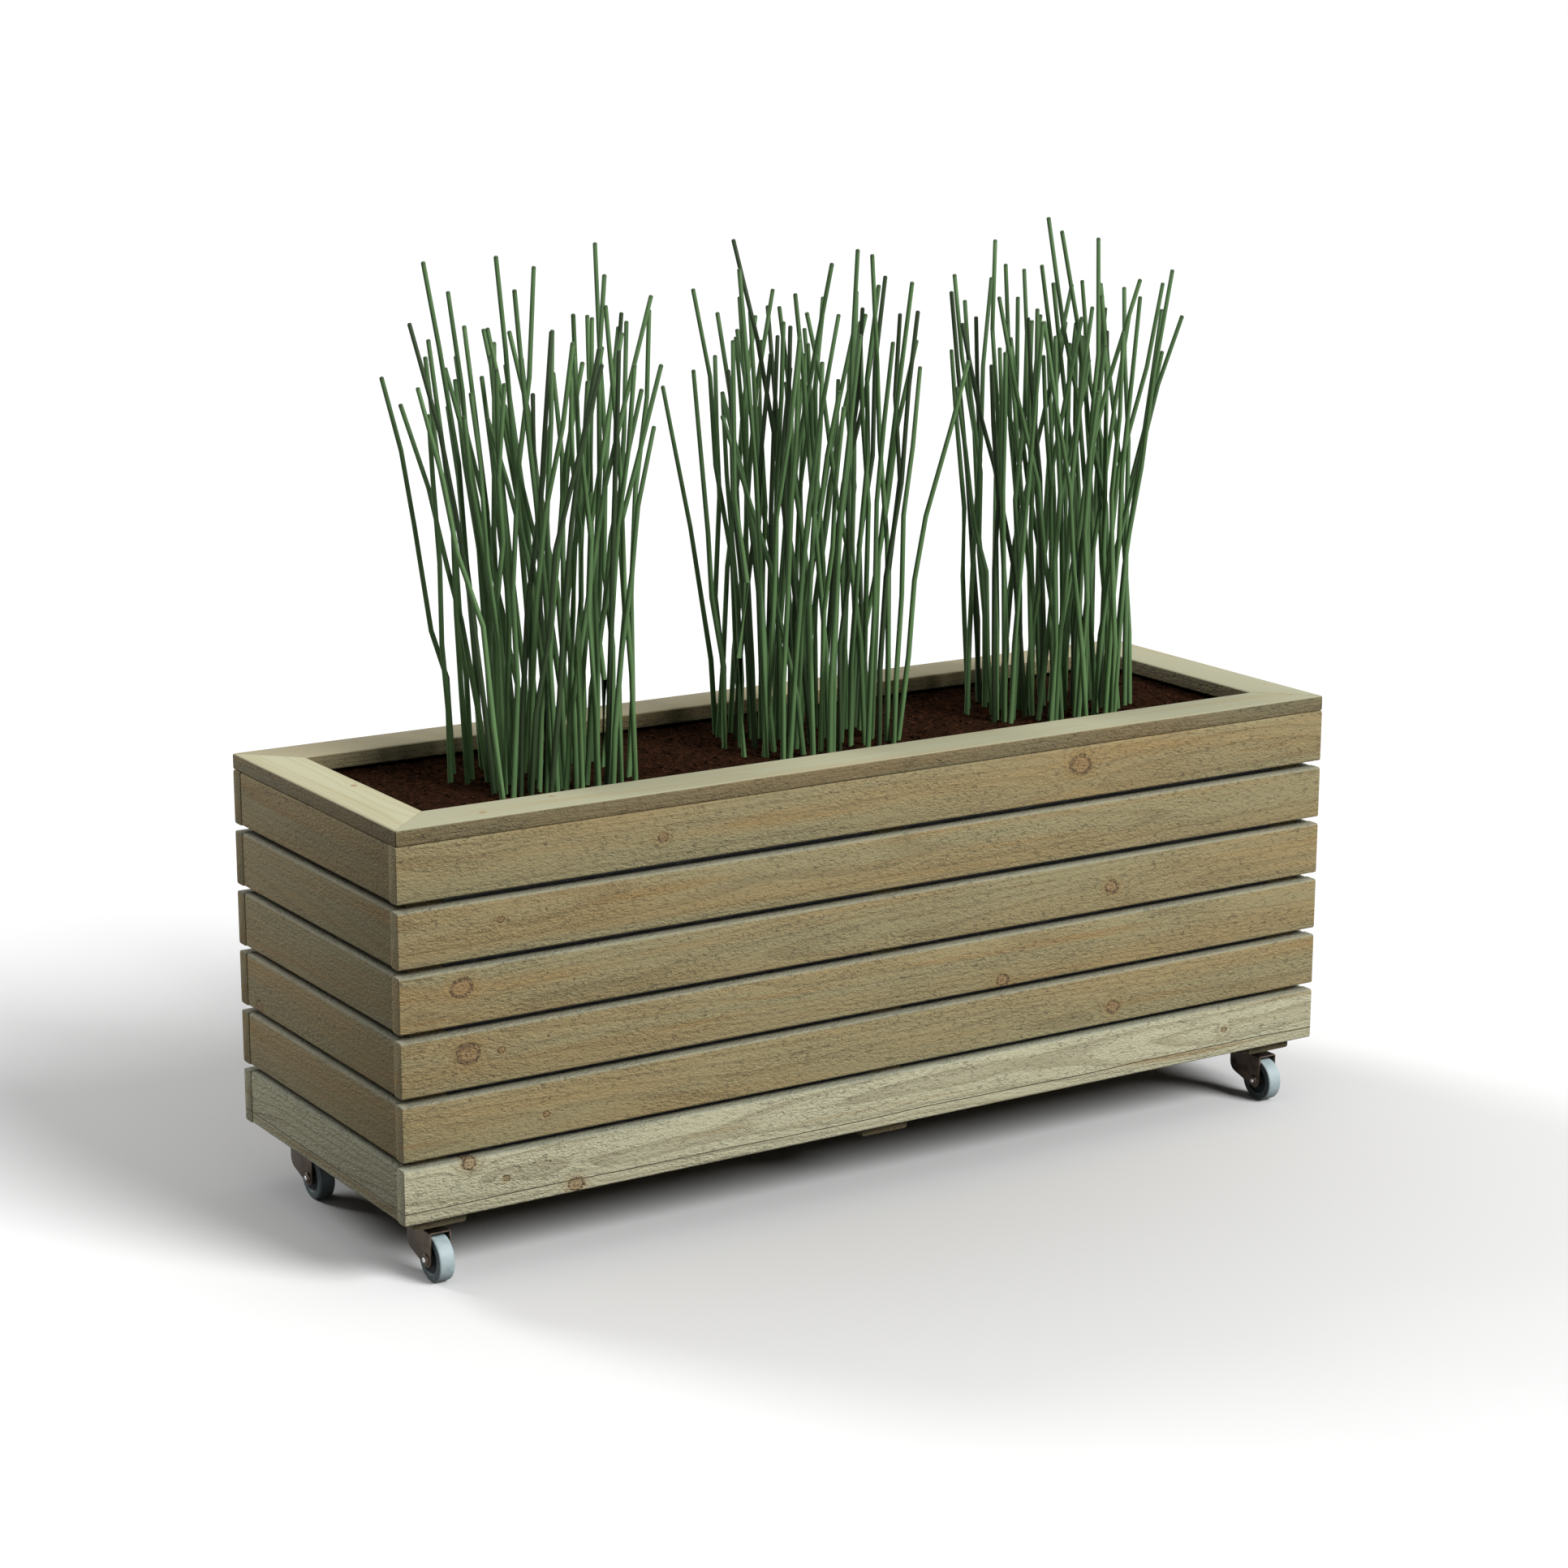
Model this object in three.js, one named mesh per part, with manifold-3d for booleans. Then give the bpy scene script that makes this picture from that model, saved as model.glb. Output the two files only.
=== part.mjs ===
// A rolling planter: a slatted softwood trough on four swivel castors, filled
// with potting soil and planted with three clumps of rush.
//
// Millimetres. X runs along the trough, Y from front to back, Z up.
// The origin is on the floor, under the middle of the trough.

import * as THREE from 'three';
import { mergeVertices } from 'three/addons/utils/BufferGeometryUtils.js';
import Module from 'manifold-3d';

const wasm = await Module();
wasm.setup();

// ---------------------------------------------------------------- dimensions

// The trough
const troughLength = 1200;
const troughDepth = 400;
const slatRows = 6;
const slatHeight = 60;
const slatThickness = 18;
const slatEdgeRadius = 3;
const edgeSteps = 2;
const rowGap = 8;
const endSlatSetback = 0.5;
const joinerGap = 0.3;

// The mitred cap that frames the soil
const capWidth = 60;
const capThickness = 18;
const capEdgeRadius = 2.5;
const mitreGap = 0.3;

// The frame inside the slats
const postWidth = 40;
const battenWidth = 40;
const battenThickness = 20;
const bearerWidth = 60;
const bearerThickness = 18;
const bearerDrop = 14;
const bearerEdgeRadius = 3;
const floorThickness = 12;

// The liner, the soil and the root balls in it
const linerThickness = 2;
const linerClearance = 0.5;
const soilClearance = 0.3;
const soilBelowCap = 2;
const rootBallRadius = 112;
const rootBallTaper = 14;
const rootBallDepth = 150;
const rootSides = 20;

// The rush: stems that rise from a round patch in straight runs, with a kink
// between each run and the next
const clumpFromEnd = 262;
const clumpShift = 10;
const stemBaseRadius = 3.3;
const stemTipRadius = 2.6;
const stemSides = 5;
const stemRuns = 5;
const stemFootDepth = 8;
const stemSway = 6;
const kinkScatter = 0.08;
const steadyLean = 0.45;

// The castors
const wheelRadius = 25;
const wheelWidth = 18;
const wheelSides = 24;
const treadEdge = 2.5;
const recessRadius = 16.5;
const recessDepth = 3;
const hubRadius = 7;
const axleRadius = 4;
const boltHeadRadius = 6.5;
const boltHeadHeight = 4;
const boltHeadEdge = 1.5;
const boltSides = 12;
const runningGap = 0.3;
const wheelTopClearance = 4;
const cheekClearance = 1.5;
const cheekThickness = 2;
const cheekTipRadius = 9;
const cheekRearReach = 18;
const cheekRearRadius = 12;
const cheekRearLevel = 38;
const cheekSteps = 6;
const trail = 27;
const crownThickness = 2;
const raceRadius = 17;
const raceHeight = 3.7;
const raceSides = 16;
const kingpinRadius = 5;
const kingpinHeadRadius = 7.5;
const kingpinHeadHeight = 1.8;
const plateSize = 54;
const plateThickness = 2;
const plateCornerRadius = 5;
const plateHoleRadius = 2.75;
const plateHoleSpacing = 40;
const castorInsetFromFace = 55;

// ------------------------------------------------------------ derived levels

const crownUnderside = 2 * wheelRadius + wheelTopClearance;
const crownTop = crownUnderside + crownThickness;
const plateUnderside = crownTop + runningGap + raceHeight;
const bearerUnderside = plateUnderside + plateThickness;
const bearerTop = bearerUnderside + bearerThickness;
const slatsUnderside = bearerUnderside + bearerDrop;
const rowPitch = slatHeight + rowGap;
const slatsTop = slatsUnderside + slatRows * rowPitch - rowGap;
const capUnderside = slatsTop;
const floorTop = bearerTop + floorThickness;
const soilTop = capUnderside - soilBelowCap;

// Inner faces of the slats
const innerX = troughLength / 2 - endSlatSetback - slatThickness;
const innerY = troughDepth / 2 - slatThickness;

// ----------------------------------------------------------------- materials

const paint = (color, roughness, metalness) => ({ color, roughness, metalness });
const finishes = {
  slat: paint(0xa0906e, 0.85, 0),
  cap: paint(0xd2ccaa, 0.8, 0),
  frame: paint(0x9a8a68, 0.9, 0),
  panel: paint(0x8c7a58, 0.9, 0),
  liner: paint(0x16181a, 0.6, 0),
  soil: paint(0x2a1208, 1, 0),
  rush: paint(0x3f6d3b, 0.7, 0),
  steel: paint(0x4c443c, 0.45, 0.9),
  bolt: paint(0x9a9ca0, 0.3, 1),
  wheel: paint(0x8fa1a5, 0.7, 0),
};

// ----------------------------------------------------------- geometry helpers

const planter = new THREE.Group();

function place(name, geometry, finish, position = [0, 0, 0], parent = planter) {
  const mesh = new THREE.Mesh(geometry, new THREE.MeshStandardMaterial(finish));
  mesh.name = name;
  mesh.position.set(...position);
  parent.add(mesh);
  return mesh;
}

function roundedRectangle(width, height, radius) {
  const x = width / 2;
  const y = height / 2;
  const shape = new THREE.Shape();
  shape.moveTo(x - radius, -y);
  shape.absarc(x - radius, radius - y, radius, -Math.PI / 2, 0);
  shape.absarc(x - radius, y - radius, radius, 0, Math.PI / 2);
  shape.absarc(radius - x, y - radius, radius, Math.PI / 2, Math.PI);
  shape.absarc(radius - x, radius - y, radius, Math.PI, 1.5 * Math.PI);
  return shape;
}

function extrude(shape, depth, curveSegments) {
  return new THREE.ExtrudeGeometry(shape, { depth, bevelEnabled: false, curveSegments });
}

// A section drawn in YZ and drawn out along X, centred on x = 0.
function alongX(section, length, curveSegments) {
  const turn = new THREE.Matrix4().set(0, 0, 1, -length / 2, 1, 0, 0, 0, 0, 1, 0, 0, 0, 0, 0, 1);
  return extrude(section, length, curveSegments).applyMatrix4(turn);
}

const board = (length, thickness, height, radius) =>
  alongX(roundedRectangle(thickness, height, radius), length, edgeSteps);

// A turned part with its axis along Z: the profile is [radius, level] pairs
// that run up the outside.
function turned(profile, sides) {
  const points = profile.map(([radius, level]) => new THREE.Vector2(radius, level));
  return new THREE.LatheGeometry(points, sides).rotateX(Math.PI / 2);
}

// ------------------------------------------------------- joining and cutting

function solid(geometry) {
  const bare = geometry.clone();
  bare.deleteAttribute('normal');
  bare.deleteAttribute('uv');
  const merged = mergeVertices(bare, 1e-4);
  return new wasm.Manifold(new wasm.Mesh({
    numProp: 3,
    vertProperties: new Float32Array(merged.attributes.position.array),
    triVerts: new Uint32Array(merged.index.array),
  }));
}

function geometryOf(manifold) {
  const { vertProperties, triVerts } = manifold.getMesh();
  const geometry = new THREE.BufferGeometry();
  geometry.setAttribute('position', new THREE.BufferAttribute(vertProperties, 3));
  geometry.setIndex(new THREE.BufferAttribute(triVerts, 1));
  geometry.computeVertexNormals();
  return geometry;
}

const join = (first, ...others) =>
  geometryOf(others.reduce((whole, piece) => whole.add(solid(piece)), solid(first)));

const cut = (first, ...others) =>
  geometryOf(others.reduce((whole, piece) => whole.subtract(solid(piece)), solid(first)));

// ---------------------------------------------------------------------- slats

// The long slats run the full length and show their end grain. The end slats
// fit between them, a hair back from the end.
const slatLevel = (row) => slatsTop - slatHeight / 2 - row * rowPitch;

function addSlats() {
  const long = board(troughLength, slatThickness, slatHeight, slatEdgeRadius);
  const shortLength = troughDepth - 2 * slatThickness - 2 * joinerGap;
  const short = board(shortLength, slatThickness, slatHeight, slatEdgeRadius)
    .rotateZ(Math.PI / 2);
  const faceY = (troughDepth - slatThickness) / 2;
  const endX = innerX + slatThickness / 2;
  for (let row = 0; row < slatRows; row += 1) {
    const number = row + 1;
    const level = slatLevel(row);
    place(`front_slat_${number}`, long, finishes.slat, [0, -faceY, level]);
    place(`back_slat_${number}`, long, finishes.slat, [0, faceY, level]);
    place(`left_slat_${number}`, short, finishes.slat, [-endX, 0, level]);
    place(`right_slat_${number}`, short, finishes.slat, [endX, 0, level]);
  }
}

// ------------------------------------------------------------------------ cap

// Four flat boards with 45 degree mitres. A cutting block with one face on the
// mitre line takes each end off.
function mitredBoard(length) {
  const reach = 2 * capWidth;
  const blank = board(length, capWidth, capThickness, capEdgeRadius);
  const cutter = (side) => new THREE.BoxGeometry(2 * reach, 2 * reach, reach)
    .translate(side * reach, 0, 0)
    .rotateZ(side * Math.PI / 4)
    .translate(side * (length / 2 - capWidth / 2 - mitreGap), 0, 0);
  return cut(blank, cutter(-1), cutter(1));
}

function addCap() {
  const level = capUnderside + capThickness / 2;
  const long = mitredBoard(troughLength);
  const short = mitredBoard(troughDepth);
  const y = (troughDepth - capWidth) / 2;
  const x = (troughLength - capWidth) / 2;
  const front = place('cap_front', long, finishes.cap, [0, -y, level]);
  const back = place('cap_back', long, finishes.cap, [0, y, level]);
  const left = place('cap_left', short, finishes.cap, [-x, 0, level]);
  const right = place('cap_right', short, finishes.cap, [x, 0, level]);
  front.rotation.z = 0;
  back.rotation.z = Math.PI;
  left.rotation.z = -Math.PI / 2;
  right.rotation.z = Math.PI / 2;
}

// ---------------------------------------------------------------------- frame

// Corner posts stand on the end bearers. A batten stiffens each long side at
// its middle, and the floor panel lies on all three bearers.
function addFrame() {
  const post = new THREE.BoxGeometry(postWidth, postWidth, capUnderside - bearerTop);
  const postX = innerX - postWidth / 2;
  const postY = innerY - postWidth / 2;
  const postLevel = (capUnderside + bearerTop) / 2;
  const batten = new THREE.BoxGeometry(battenWidth, battenThickness, capUnderside - floorTop);
  const battenY = innerY - battenThickness / 2;
  const battenLevel = (capUnderside + floorTop) / 2;
  for (const [side, sign] of [['front', -1], ['back', 1]]) {
    place(`${side}_left_post`, post, finishes.frame, [-postX, sign * postY, postLevel]);
    place(`${side}_right_post`, post, finishes.frame, [postX, sign * postY, postLevel]);
    place(`${side}_batten`, batten, finishes.frame, [0, sign * battenY, battenLevel]);
  }
  const bearer = board(2 * (innerY - joinerGap), bearerWidth, bearerThickness, bearerEdgeRadius)
    .rotateZ(Math.PI / 2);
  const bearerLevel = (bearerTop + bearerUnderside) / 2;
  const bearerX = castorX();
  place('bearer_left', bearer, finishes.frame, [-bearerX, 0, bearerLevel]);
  place('bearer_middle', bearer, finishes.frame, [0, 0, bearerLevel]);
  place('bearer_right', bearer, finishes.frame, [bearerX, 0, bearerLevel]);
  const panel = extrude(troughPlan(joinerGap, 0), floorThickness, 1);
  place('floor_panel', panel, finishes.panel, [0, 0, bearerTop]);
}

// The end bearers lie against the end slats, and the castors sit under them.
function castorX() {
  return innerX - joinerGap - bearerWidth / 2;
}

// The inside of the trough in plan, drawn in by an inset from the slats, the
// posts and, where the battens pass, from them as well.
function troughPlan(inset, battenReach) {
  const x = innerX - inset;
  const y = innerY - inset;
  const cornerX = innerX - postWidth - inset;
  const cornerY = innerY - postWidth - inset;
  const middleX = battenWidth / 2 + inset;
  const middleY = y - battenReach;
  const quarter = [[x, 0], [x, cornerY], [cornerX, cornerY], [cornerX, y]];
  if (battenReach > 0) quarter.push([middleX, y], [middleX, middleY]);
  const half = [...quarter, ...quarter.map(([px, py]) => [-px, py]).reverse()];
  const lower = half.slice(1, -1).map(([px, py]) => [-px, -py]);
  return new THREE.Shape([...half, ...lower].map(([px, py]) => new THREE.Vector2(px, py)));
}

// ------------------------------------------------------------- liner and soil

const linerFloor = floorTop + linerThickness;
const clumpSpacing = troughLength / 2 - clumpFromEnd;
const clumpX = (index) => (index - 1) * clumpSpacing + clumpShift;

// A root ball narrows downwards. grow widens it, for the pocket it sits in.
function rootBall(grow) {
  const bottom = soilTop - rootBallDepth - grow;
  const low = rootBallRadius - rootBallTaper + grow;
  const high = rootBallRadius + grow;
  const top = grow > 0 ? soilTop + 1 : soilTop;
  return turned([[0, bottom], [low, bottom], [high, top], [0, top]], rootSides);
}

function addLinerAndSoil() {
  const outer = troughPlan(linerClearance, battenThickness);
  const inner = troughPlan(linerClearance + linerThickness, battenThickness);
  const height = soilTop - floorTop;
  const liner = cut(extrude(outer, height, 1), extrude(inner, height, 1).translate(0, 0, linerThickness));
  place('liner', liner, finishes.liner, [0, 0, floorTop]);

  const soilBottom = linerFloor + soilClearance;
  const heap = troughPlan(linerClearance + linerThickness + soilClearance, battenThickness);
  const pockets = [0, 1, 2].map((index) =>
    rootBall(soilClearance).translate(clumpX(index), 0, 0));
  const block = extrude(heap, soilTop - soilBottom, 1).translate(0, 0, soilBottom);
  place('soil', cut(block, ...pockets), finishes.soil);
}

// ----------------------------------------------------------------------- rush

// A number from 0 to 1 that looks random but is the same in every run.
function chance(seed) {
  const value = Math.sin(seed * 12.9898 + 4.1414) * 43758.5453;
  return value - Math.floor(value);
}

// Every stem of each clump. A row gives its foot in plan, its tip in plan and
// the height of its tip above the soil, all from the middle of the clump.
const stems = {
  left: [
    [-67, 77, -137, 86, 432], [-56, 14, -126, 65, 405], [-76, -38, -130, 31, 493],
    [-78, -60, -130, 15, 428], [-33, 74, -111, 34, 555], [-33, 39, -83, 34, 523],
    [-32, 51, -47, 93, 423], [28, 13, -44, 22, 484], [-4, 4, -58, -27, 563],
    [-16, -66, -63, -76, 533], [-66, -60, -22, -42, 552], [81, 62, 35, -21, 498],
    [91, 3, 96, 40, 565], [31, -67, 54, -55, 541], [81, -63, 30, -99, 514],
    [62, -65, 95, -28, 488], [46, -65, 57, -111, 453], [82, -46, 110, -50, 501],
    [-6, -66, 92, -86, 520], [33, -41, 110, -75, 446], [7, -65, 20, -3, 436],
    [-42, -53, -19, -118, 481], [-76, 24, -109, 30, 475], [-23, -56, 18, -6, 481],
    [-56, -58, -2, -41, 484], [-12, 72, -42, 79, 481], [20, 65, -4, 94, 446],
    [17, -97, -1, -88, 466], [21, -21, 43, -36, 429], [-62, 42, -104, 48, 455],
    [-3, 35, 38, 38, 374], [51, -10, 109, -35, 416], [-45, -9, -65, -37, 449],
    [34, -96, 85, -102, 386], [-49, -67, 9, -128, 458], [80, 7, 77, 14, 489],
    [-32, -54, 18, -71, 454], [-8, -20, -10, -13, 417], [-54, 2, -17, 59, 464],
    [-35, -84, 16, -110, 472], [-22, 7, -52, 2, 378], [62, 40, 0, 57, 475],
    [-54, -17, -92, -14, 399], [54, 84, 7, 130, 470], [-3, -51, -62, -9, 394],
    [87, 45, 116, 26, 476], [61, 73, 112, 55, 452], [31, 58, 33, 130, 430],
    [60, 56, -4, 62, 396], [-65, -21, -71, -66, 437], [42, -16, 49, -27, 428],
    [-25, 91, -52, 102, 394], [4, -45, -2, 26, 450], [20, -13, 35, -21, 462],
    [1, 81, -31, 122, 444], [-6, 51, -29, 66, 428], [84, 28, 84, 37, 489],
    [-21, 15, -70, 70, 439], [34, -84, 33, -121, 470], [-67, -44, -92, -31, 425],
    [14, -51, 86, -34, 477], [-90, 38, -114, 23, 398], [3, -86, 4, -71, 442],
    [97, 21, 109, 7, 493],
  ],
  middle: [
    [-69, 81, -129, 93, 399], [91, -51, 153, -93, 428], [-49, 58, -106, 65, 507],
    [-72, 58, -40, 128, 424], [-43, 47, -52, 103, 475], [-35, -52, -96, 21, 372],
    [-55, -22, -71, 62, 392], [-6, -24, -64, 49, 560], [-77, -41, -98, -19, 535],
    [-71, 73, -3, 101, 469], [-49, 83, 0, 69, 501], [2, -48, -33, -29, 506],
    [48, -50, 1, 1, 481], [-14, 46, 5, -44, 538], [-5, -65, -10, -117, 559],
    [29, 57, 95, 25, 472], [77, -51, 19, -101, 551], [41, 34, 96, 6, 458],
    [32, -45, 40, -83, 516], [92, 40, 127, 34, 512], [76, -21, 66, -109, 520],
    [57, -65, 82, -97, 487], [79, -61, 120, -47, 419], [-73, -29, -60, -81, 463],
    [-62, 7, -77, 39, 419], [-68, -61, -40, -49, 465], [-4, 12, 61, -5, 465],
    [34, -22, 74, 4, 467], [-58, 54, -51, -8, 440], [0, -10, -37, -3, 490],
    [5, 75, 17, 35, 403], [-41, -81, -8, -45, 432], [47, 81, 5, 45, 408],
    [88, 5, 37, -52, 452], [87, 21, 113, -50, 449], [-25, -20, 5, -60, 401],
    [71, 25, 99, 62, 435], [16, 38, 38, 25, 494], [-40, -30, -27, -10, 469],
    [-12, -51, -26, -116, 392], [10, 27, -11, 24, 403], [-24, -88, -10, -123, 469],
    [52, 59, 82, 61, 396], [-60, -62, -5, -73, 486], [-19, 63, -23, 56, 447],
    [22, 53, 19, 111, 478], [-35, 21, -7, 48, 452], [-22, 73, -9, 126, 488],
    [72, 70, 67, 109, 450], [-21, 23, -46, -26, 476], [-94, 21, -122, 38, 422],
    [41, 91, 52, 84, 425], [-77, 15, -63, 74, 388], [16, 66, -8, 133, 451],
    [98, -19, 87, -55, 480], [12, -52, 33, -62, 490], [28, 2, 8, 9, 446],
    [-44, 13, -32, 66, 479], [35, -75, 41, -110, 457], [10, 51, 49, 42, 479],
    [-32, 45, -59, 52, 453], [-97, -26, -103, -14, 458], [3, 90, 46, 105, 407],
    [66, 7, 100, 52, 495],
  ],
  right: [
    [-80, 46, -105, 55, 421], [-43, 61, -60, 115, 500], [-61, 40, -61, 92, 472],
    [-47, 36, -21, 89, 540], [-25, -63, -110, -44, 490], [11, 69, 3, 101, 510],
    [3, 10, 16, 82, 505], [60, 51, -22, -4, 518], [28, -60, -2, 12, 570],
    [68, -49, -5, -18, 557], [-49, 27, 42, 23, 491], [100, 4, 54, 20, 495],
    [7, -65, 46, -20, 547], [95, -36, 108, 55, 486], [38, -64, 25, -56, 486],
    [82, -42, 128, 36, 482], [-30, -46, 48, -97, 506], [49, -55, 107, -63, 466],
    [20, -64, 82, -95, 500], [39, -78, 97, -93, 514], [62, -9, 125, -78, 459],
    [-39, -24, -46, 22, 424], [-48, -24, -121, 12, 456], [-76, 2, -123, 18, 383],
    [-70, -28, -50, -16, 447], [-25, -21, -67, -41, 464], [10, -22, 27, -18, 436],
    [-99, 23, -40, 69, 499], [-13, -34, -49, -47, 421], [-3, -58, -4, -102, 436],
    [59, 0, 94, 65, 440], [25, -89, 13, -113, 450], [-70, -13, -67, 13, 425],
    [40, 90, 90, 98, 438], [-87, -48, -77, -83, 464], [-88, -21, -96, -13, 448],
    [-19, 29, -32, 47, 451], [-43, 80, -39, 100, 451], [73, 15, 116, 60, 457],
    [-40, -71, -9, -84, 477], [74, 63, 88, 87, 414], [66, 19, 8, 14, 495],
    [83, -12, 31, -3, 438], [-48, -74, -43, -61, 444], [-97, -29, -117, -41, 414],
    [-48, -48, 4, -63, 415], [-33, 10, -19, 17, 453], [-87, -35, -113, -62, 430],
    [95, 27, 124, -44, 415], [51, 54, 57, 88, 413], [-17, -100, -69, -74, 463],
    [-13, -78, -23, -117, 386], [-18, 63, 33, 71, 452], [30, -23, 82, -35, 460],
    [-19, 5, 23, 64, 460], [-17, 44, -4, 66, 475], [-31, 2, 12, -37, 460],
    [27, -77, 39, -109, 488], [22, 24, 22, -13, 451], [33, 57, -38, 32, 433],
    [23, -18, 62, -15, 466], [72, 41, 41, 12, 414], [56, -30, 72, -6, 438],
    [-54, 61, -97, 68, 486],
  ],
};

// The points of a stem: its foot, a little under the soil, its kinks and its
// tip. It leans more as it rises, and each kink strays from that line a little.
function stemLine(clump, stem, [footX, footY, tipX, tipY, height]) {
  const points = [new THREE.Vector3(footX, footY, -stemFootDepth)];
  for (let kink = 1; kink < stemRuns; kink += 1) {
    const seed = clump * 1000 + stem * 10 + kink;
    const rise = kink / stemRuns + kinkScatter * (chance(seed) - 0.5);
    const lean = steadyLean * rise + (1 - steadyLean) * rise * rise;
    const sway = stemSway * Math.sin(Math.PI * rise);
    points.push(new THREE.Vector3(
      footX + (tipX - footX) * lean + sway * (2 * chance(seed + 0.3) - 1),
      footY + (tipY - footY) * lean + sway * (2 * chance(seed + 0.6) - 1),
      height * rise,
    ));
  }
  points.push(new THREE.Vector3(tipX, tipY, height));
  return points;
}

// A tapered rod through a list of points, closed at both ends.
function rod(points, footRadius, tipRadius, sides) {
  const positions = [];
  const index = [];
  const last = points.length - 1;
  points.forEach((point, ring) => {
    const radius = footRadius + (tipRadius - footRadius) * ring / last;
    for (let side = 0; side < sides; side += 1) {
      const angle = 2 * Math.PI * side / sides;
      positions.push(point.x + radius * Math.cos(angle), point.y + radius * Math.sin(angle), point.z);
    }
  });
  for (let ring = 0; ring < last; ring += 1) {
    for (let side = 0; side < sides; side += 1) {
      const a = ring * sides + side;
      const b = ring * sides + (side + 1) % sides;
      index.push(a, b, b + sides, a, b + sides, a + sides);
    }
  }
  for (let side = 1; side < sides - 1; side += 1) {
    index.push(0, side + 1, side);
    index.push(last * sides, last * sides + side, last * sides + side + 1);
  }
  const geometry = new THREE.BufferGeometry();
  geometry.setAttribute('position', new THREE.Float32BufferAttribute(positions, 3));
  geometry.setIndex(index);
  return geometry;
}

function addRush() {
  Object.entries(stems).forEach(([side, rows], clump) => {
    const rods = rows.map((row, stem) =>
      rod(stemLine(clump, stem, row), stemBaseRadius, stemTipRadius, stemSides)
        .translate(0, 0, soilTop));
    const tuft = join(rootBall(0), ...rods).translate(clumpX(clump), 0, 0);
    place(`rush_${side}`, tuft, finishes.rush);
  });
}

// -------------------------------------------------------------------- castors

// The wheel: a grey rubber tyre bonded to its core, hollowed beside the hub.
// The last of its facets lies flat on the floor.
function wheelGeometry() {
  const tread = wheelRadius / Math.cos(Math.PI / wheelSides);
  const bore = axleRadius + runningGap;
  const face = wheelWidth / 2;
  const web = face - recessDepth;
  const hub = face + cheekClearance - runningGap;
  const half = [[bore, -hub], [hubRadius, -hub], [hubRadius, -web], [recessRadius, -web],
    [recessRadius, -face], [tread - treadEdge, -face], [tread, treadEdge - face]];
  const other = half.map(([radius, level]) => [radius, -level]).reverse();
  return turned([...half, ...other, half[0]], wheelSides)
    .rotateZ(Math.PI / wheelSides)
    .rotateY(Math.PI / 2);
}

// The axle bolt: a low dome outside each cheek and a plain shank between.
function axleGeometry() {
  const cheekFace = wheelWidth / 2 + cheekClearance + cheekThickness + runningGap;
  const end = cheekFace + boltHeadHeight;
  const half = [[0, -end], [boltHeadRadius - boltHeadEdge, -end], [boltHeadRadius, boltHeadEdge - end],
    [boltHeadRadius, -cheekFace], [axleRadius, -cheekFace]];
  const other = half.map(([radius, level]) => [radius, -level]).reverse();
  return turned([...half, ...other], boltSides).rotateY(Math.PI / 2);
}

// One side of the fork. The front edge drops straight to the axle, the rear
// edge turns a wide corner and runs down to the round tip.
function cheekGeometry() {
  const tip = { y: -trail, z: wheelRadius };
  const corner = { y: cheekRearReach - cheekRearRadius, z: cheekRearLevel };
  const rise = Math.atan2(corner.z - tip.z, corner.y - tip.y);
  const apart = Math.hypot(corner.z - tip.z, corner.y - tip.y);
  const tangent = rise - Math.asin((cheekRearRadius - cheekTipRadius) / apart) - Math.PI / 2;
  const outline = new THREE.Shape();
  outline.moveTo(tip.y - cheekTipRadius, crownTop);
  outline.lineTo(tip.y - cheekTipRadius, tip.z);
  outline.absarc(tip.y, tip.z, cheekTipRadius, -Math.PI, tangent);
  outline.absarc(corner.y, corner.z, cheekRearRadius, tangent, 0);
  outline.lineTo(cheekRearReach, crownTop);
  const axleHole = new THREE.Path();
  axleHole.absarc(tip.y, tip.z, axleRadius + runningGap, 0, 2 * Math.PI);
  outline.holes.push(axleHole);
  return alongX(outline, cheekThickness, cheekSteps);
}

function forkGeometry() {
  const cheekX = wheelWidth / 2 + cheekClearance + cheekThickness / 2;
  const width = 2 * cheekX + cheekThickness;
  const length = trail + cheekTipRadius + cheekRearReach;
  const middle = (crownTop + crownUnderside) / 2;
  const strap = new THREE.BoxGeometry(width, length, crownThickness)
    .translate(0, cheekRearReach - length / 2, middle);
  const disc = turned([[0, crownUnderside], [raceRadius, crownUnderside],
    [raceRadius, crownTop], [0, crownTop]], raceSides);
  const hole = turned([[0, 0], [kingpinRadius + runningGap, 0],
    [kingpinRadius + runningGap, bearerTop], [0, bearerTop]], raceSides);
  const left = cheekGeometry().translate(-cheekX, 0, 0);
  const right = cheekGeometry().translate(cheekX, 0, 0);
  return cut(join(strap, disc, left, right), hole);
}

// The top plate, with the bearing race and the kingpin that holds the fork.
function plateGeometry() {
  const outline = roundedRectangle(plateSize, plateSize, plateCornerRadius);
  const reach = plateHoleSpacing / 2;
  for (const [x, y] of [[-reach, -reach], [reach, -reach], [reach, reach], [-reach, reach]]) {
    const hole = new THREE.Path();
    hole.absarc(x, y, plateHoleRadius, 0, 2 * Math.PI);
    outline.holes.push(hole);
  }
  const sheet = extrude(outline, plateThickness, 4).translate(0, 0, plateUnderside);
  const headTop = crownUnderside - runningGap;
  const headBottom = headTop - kingpinHeadHeight;
  const raceBottom = crownTop + runningGap;
  const pin = turned([[0, headBottom], [kingpinHeadRadius, headBottom],
    [kingpinHeadRadius, headTop], [kingpinRadius, headTop], [kingpinRadius, raceBottom],
    [raceRadius, raceBottom], [raceRadius, plateUnderside + plateThickness / 2],
    [0, plateUnderside + plateThickness / 2]], raceSides);
  return join(sheet, pin);
}

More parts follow.
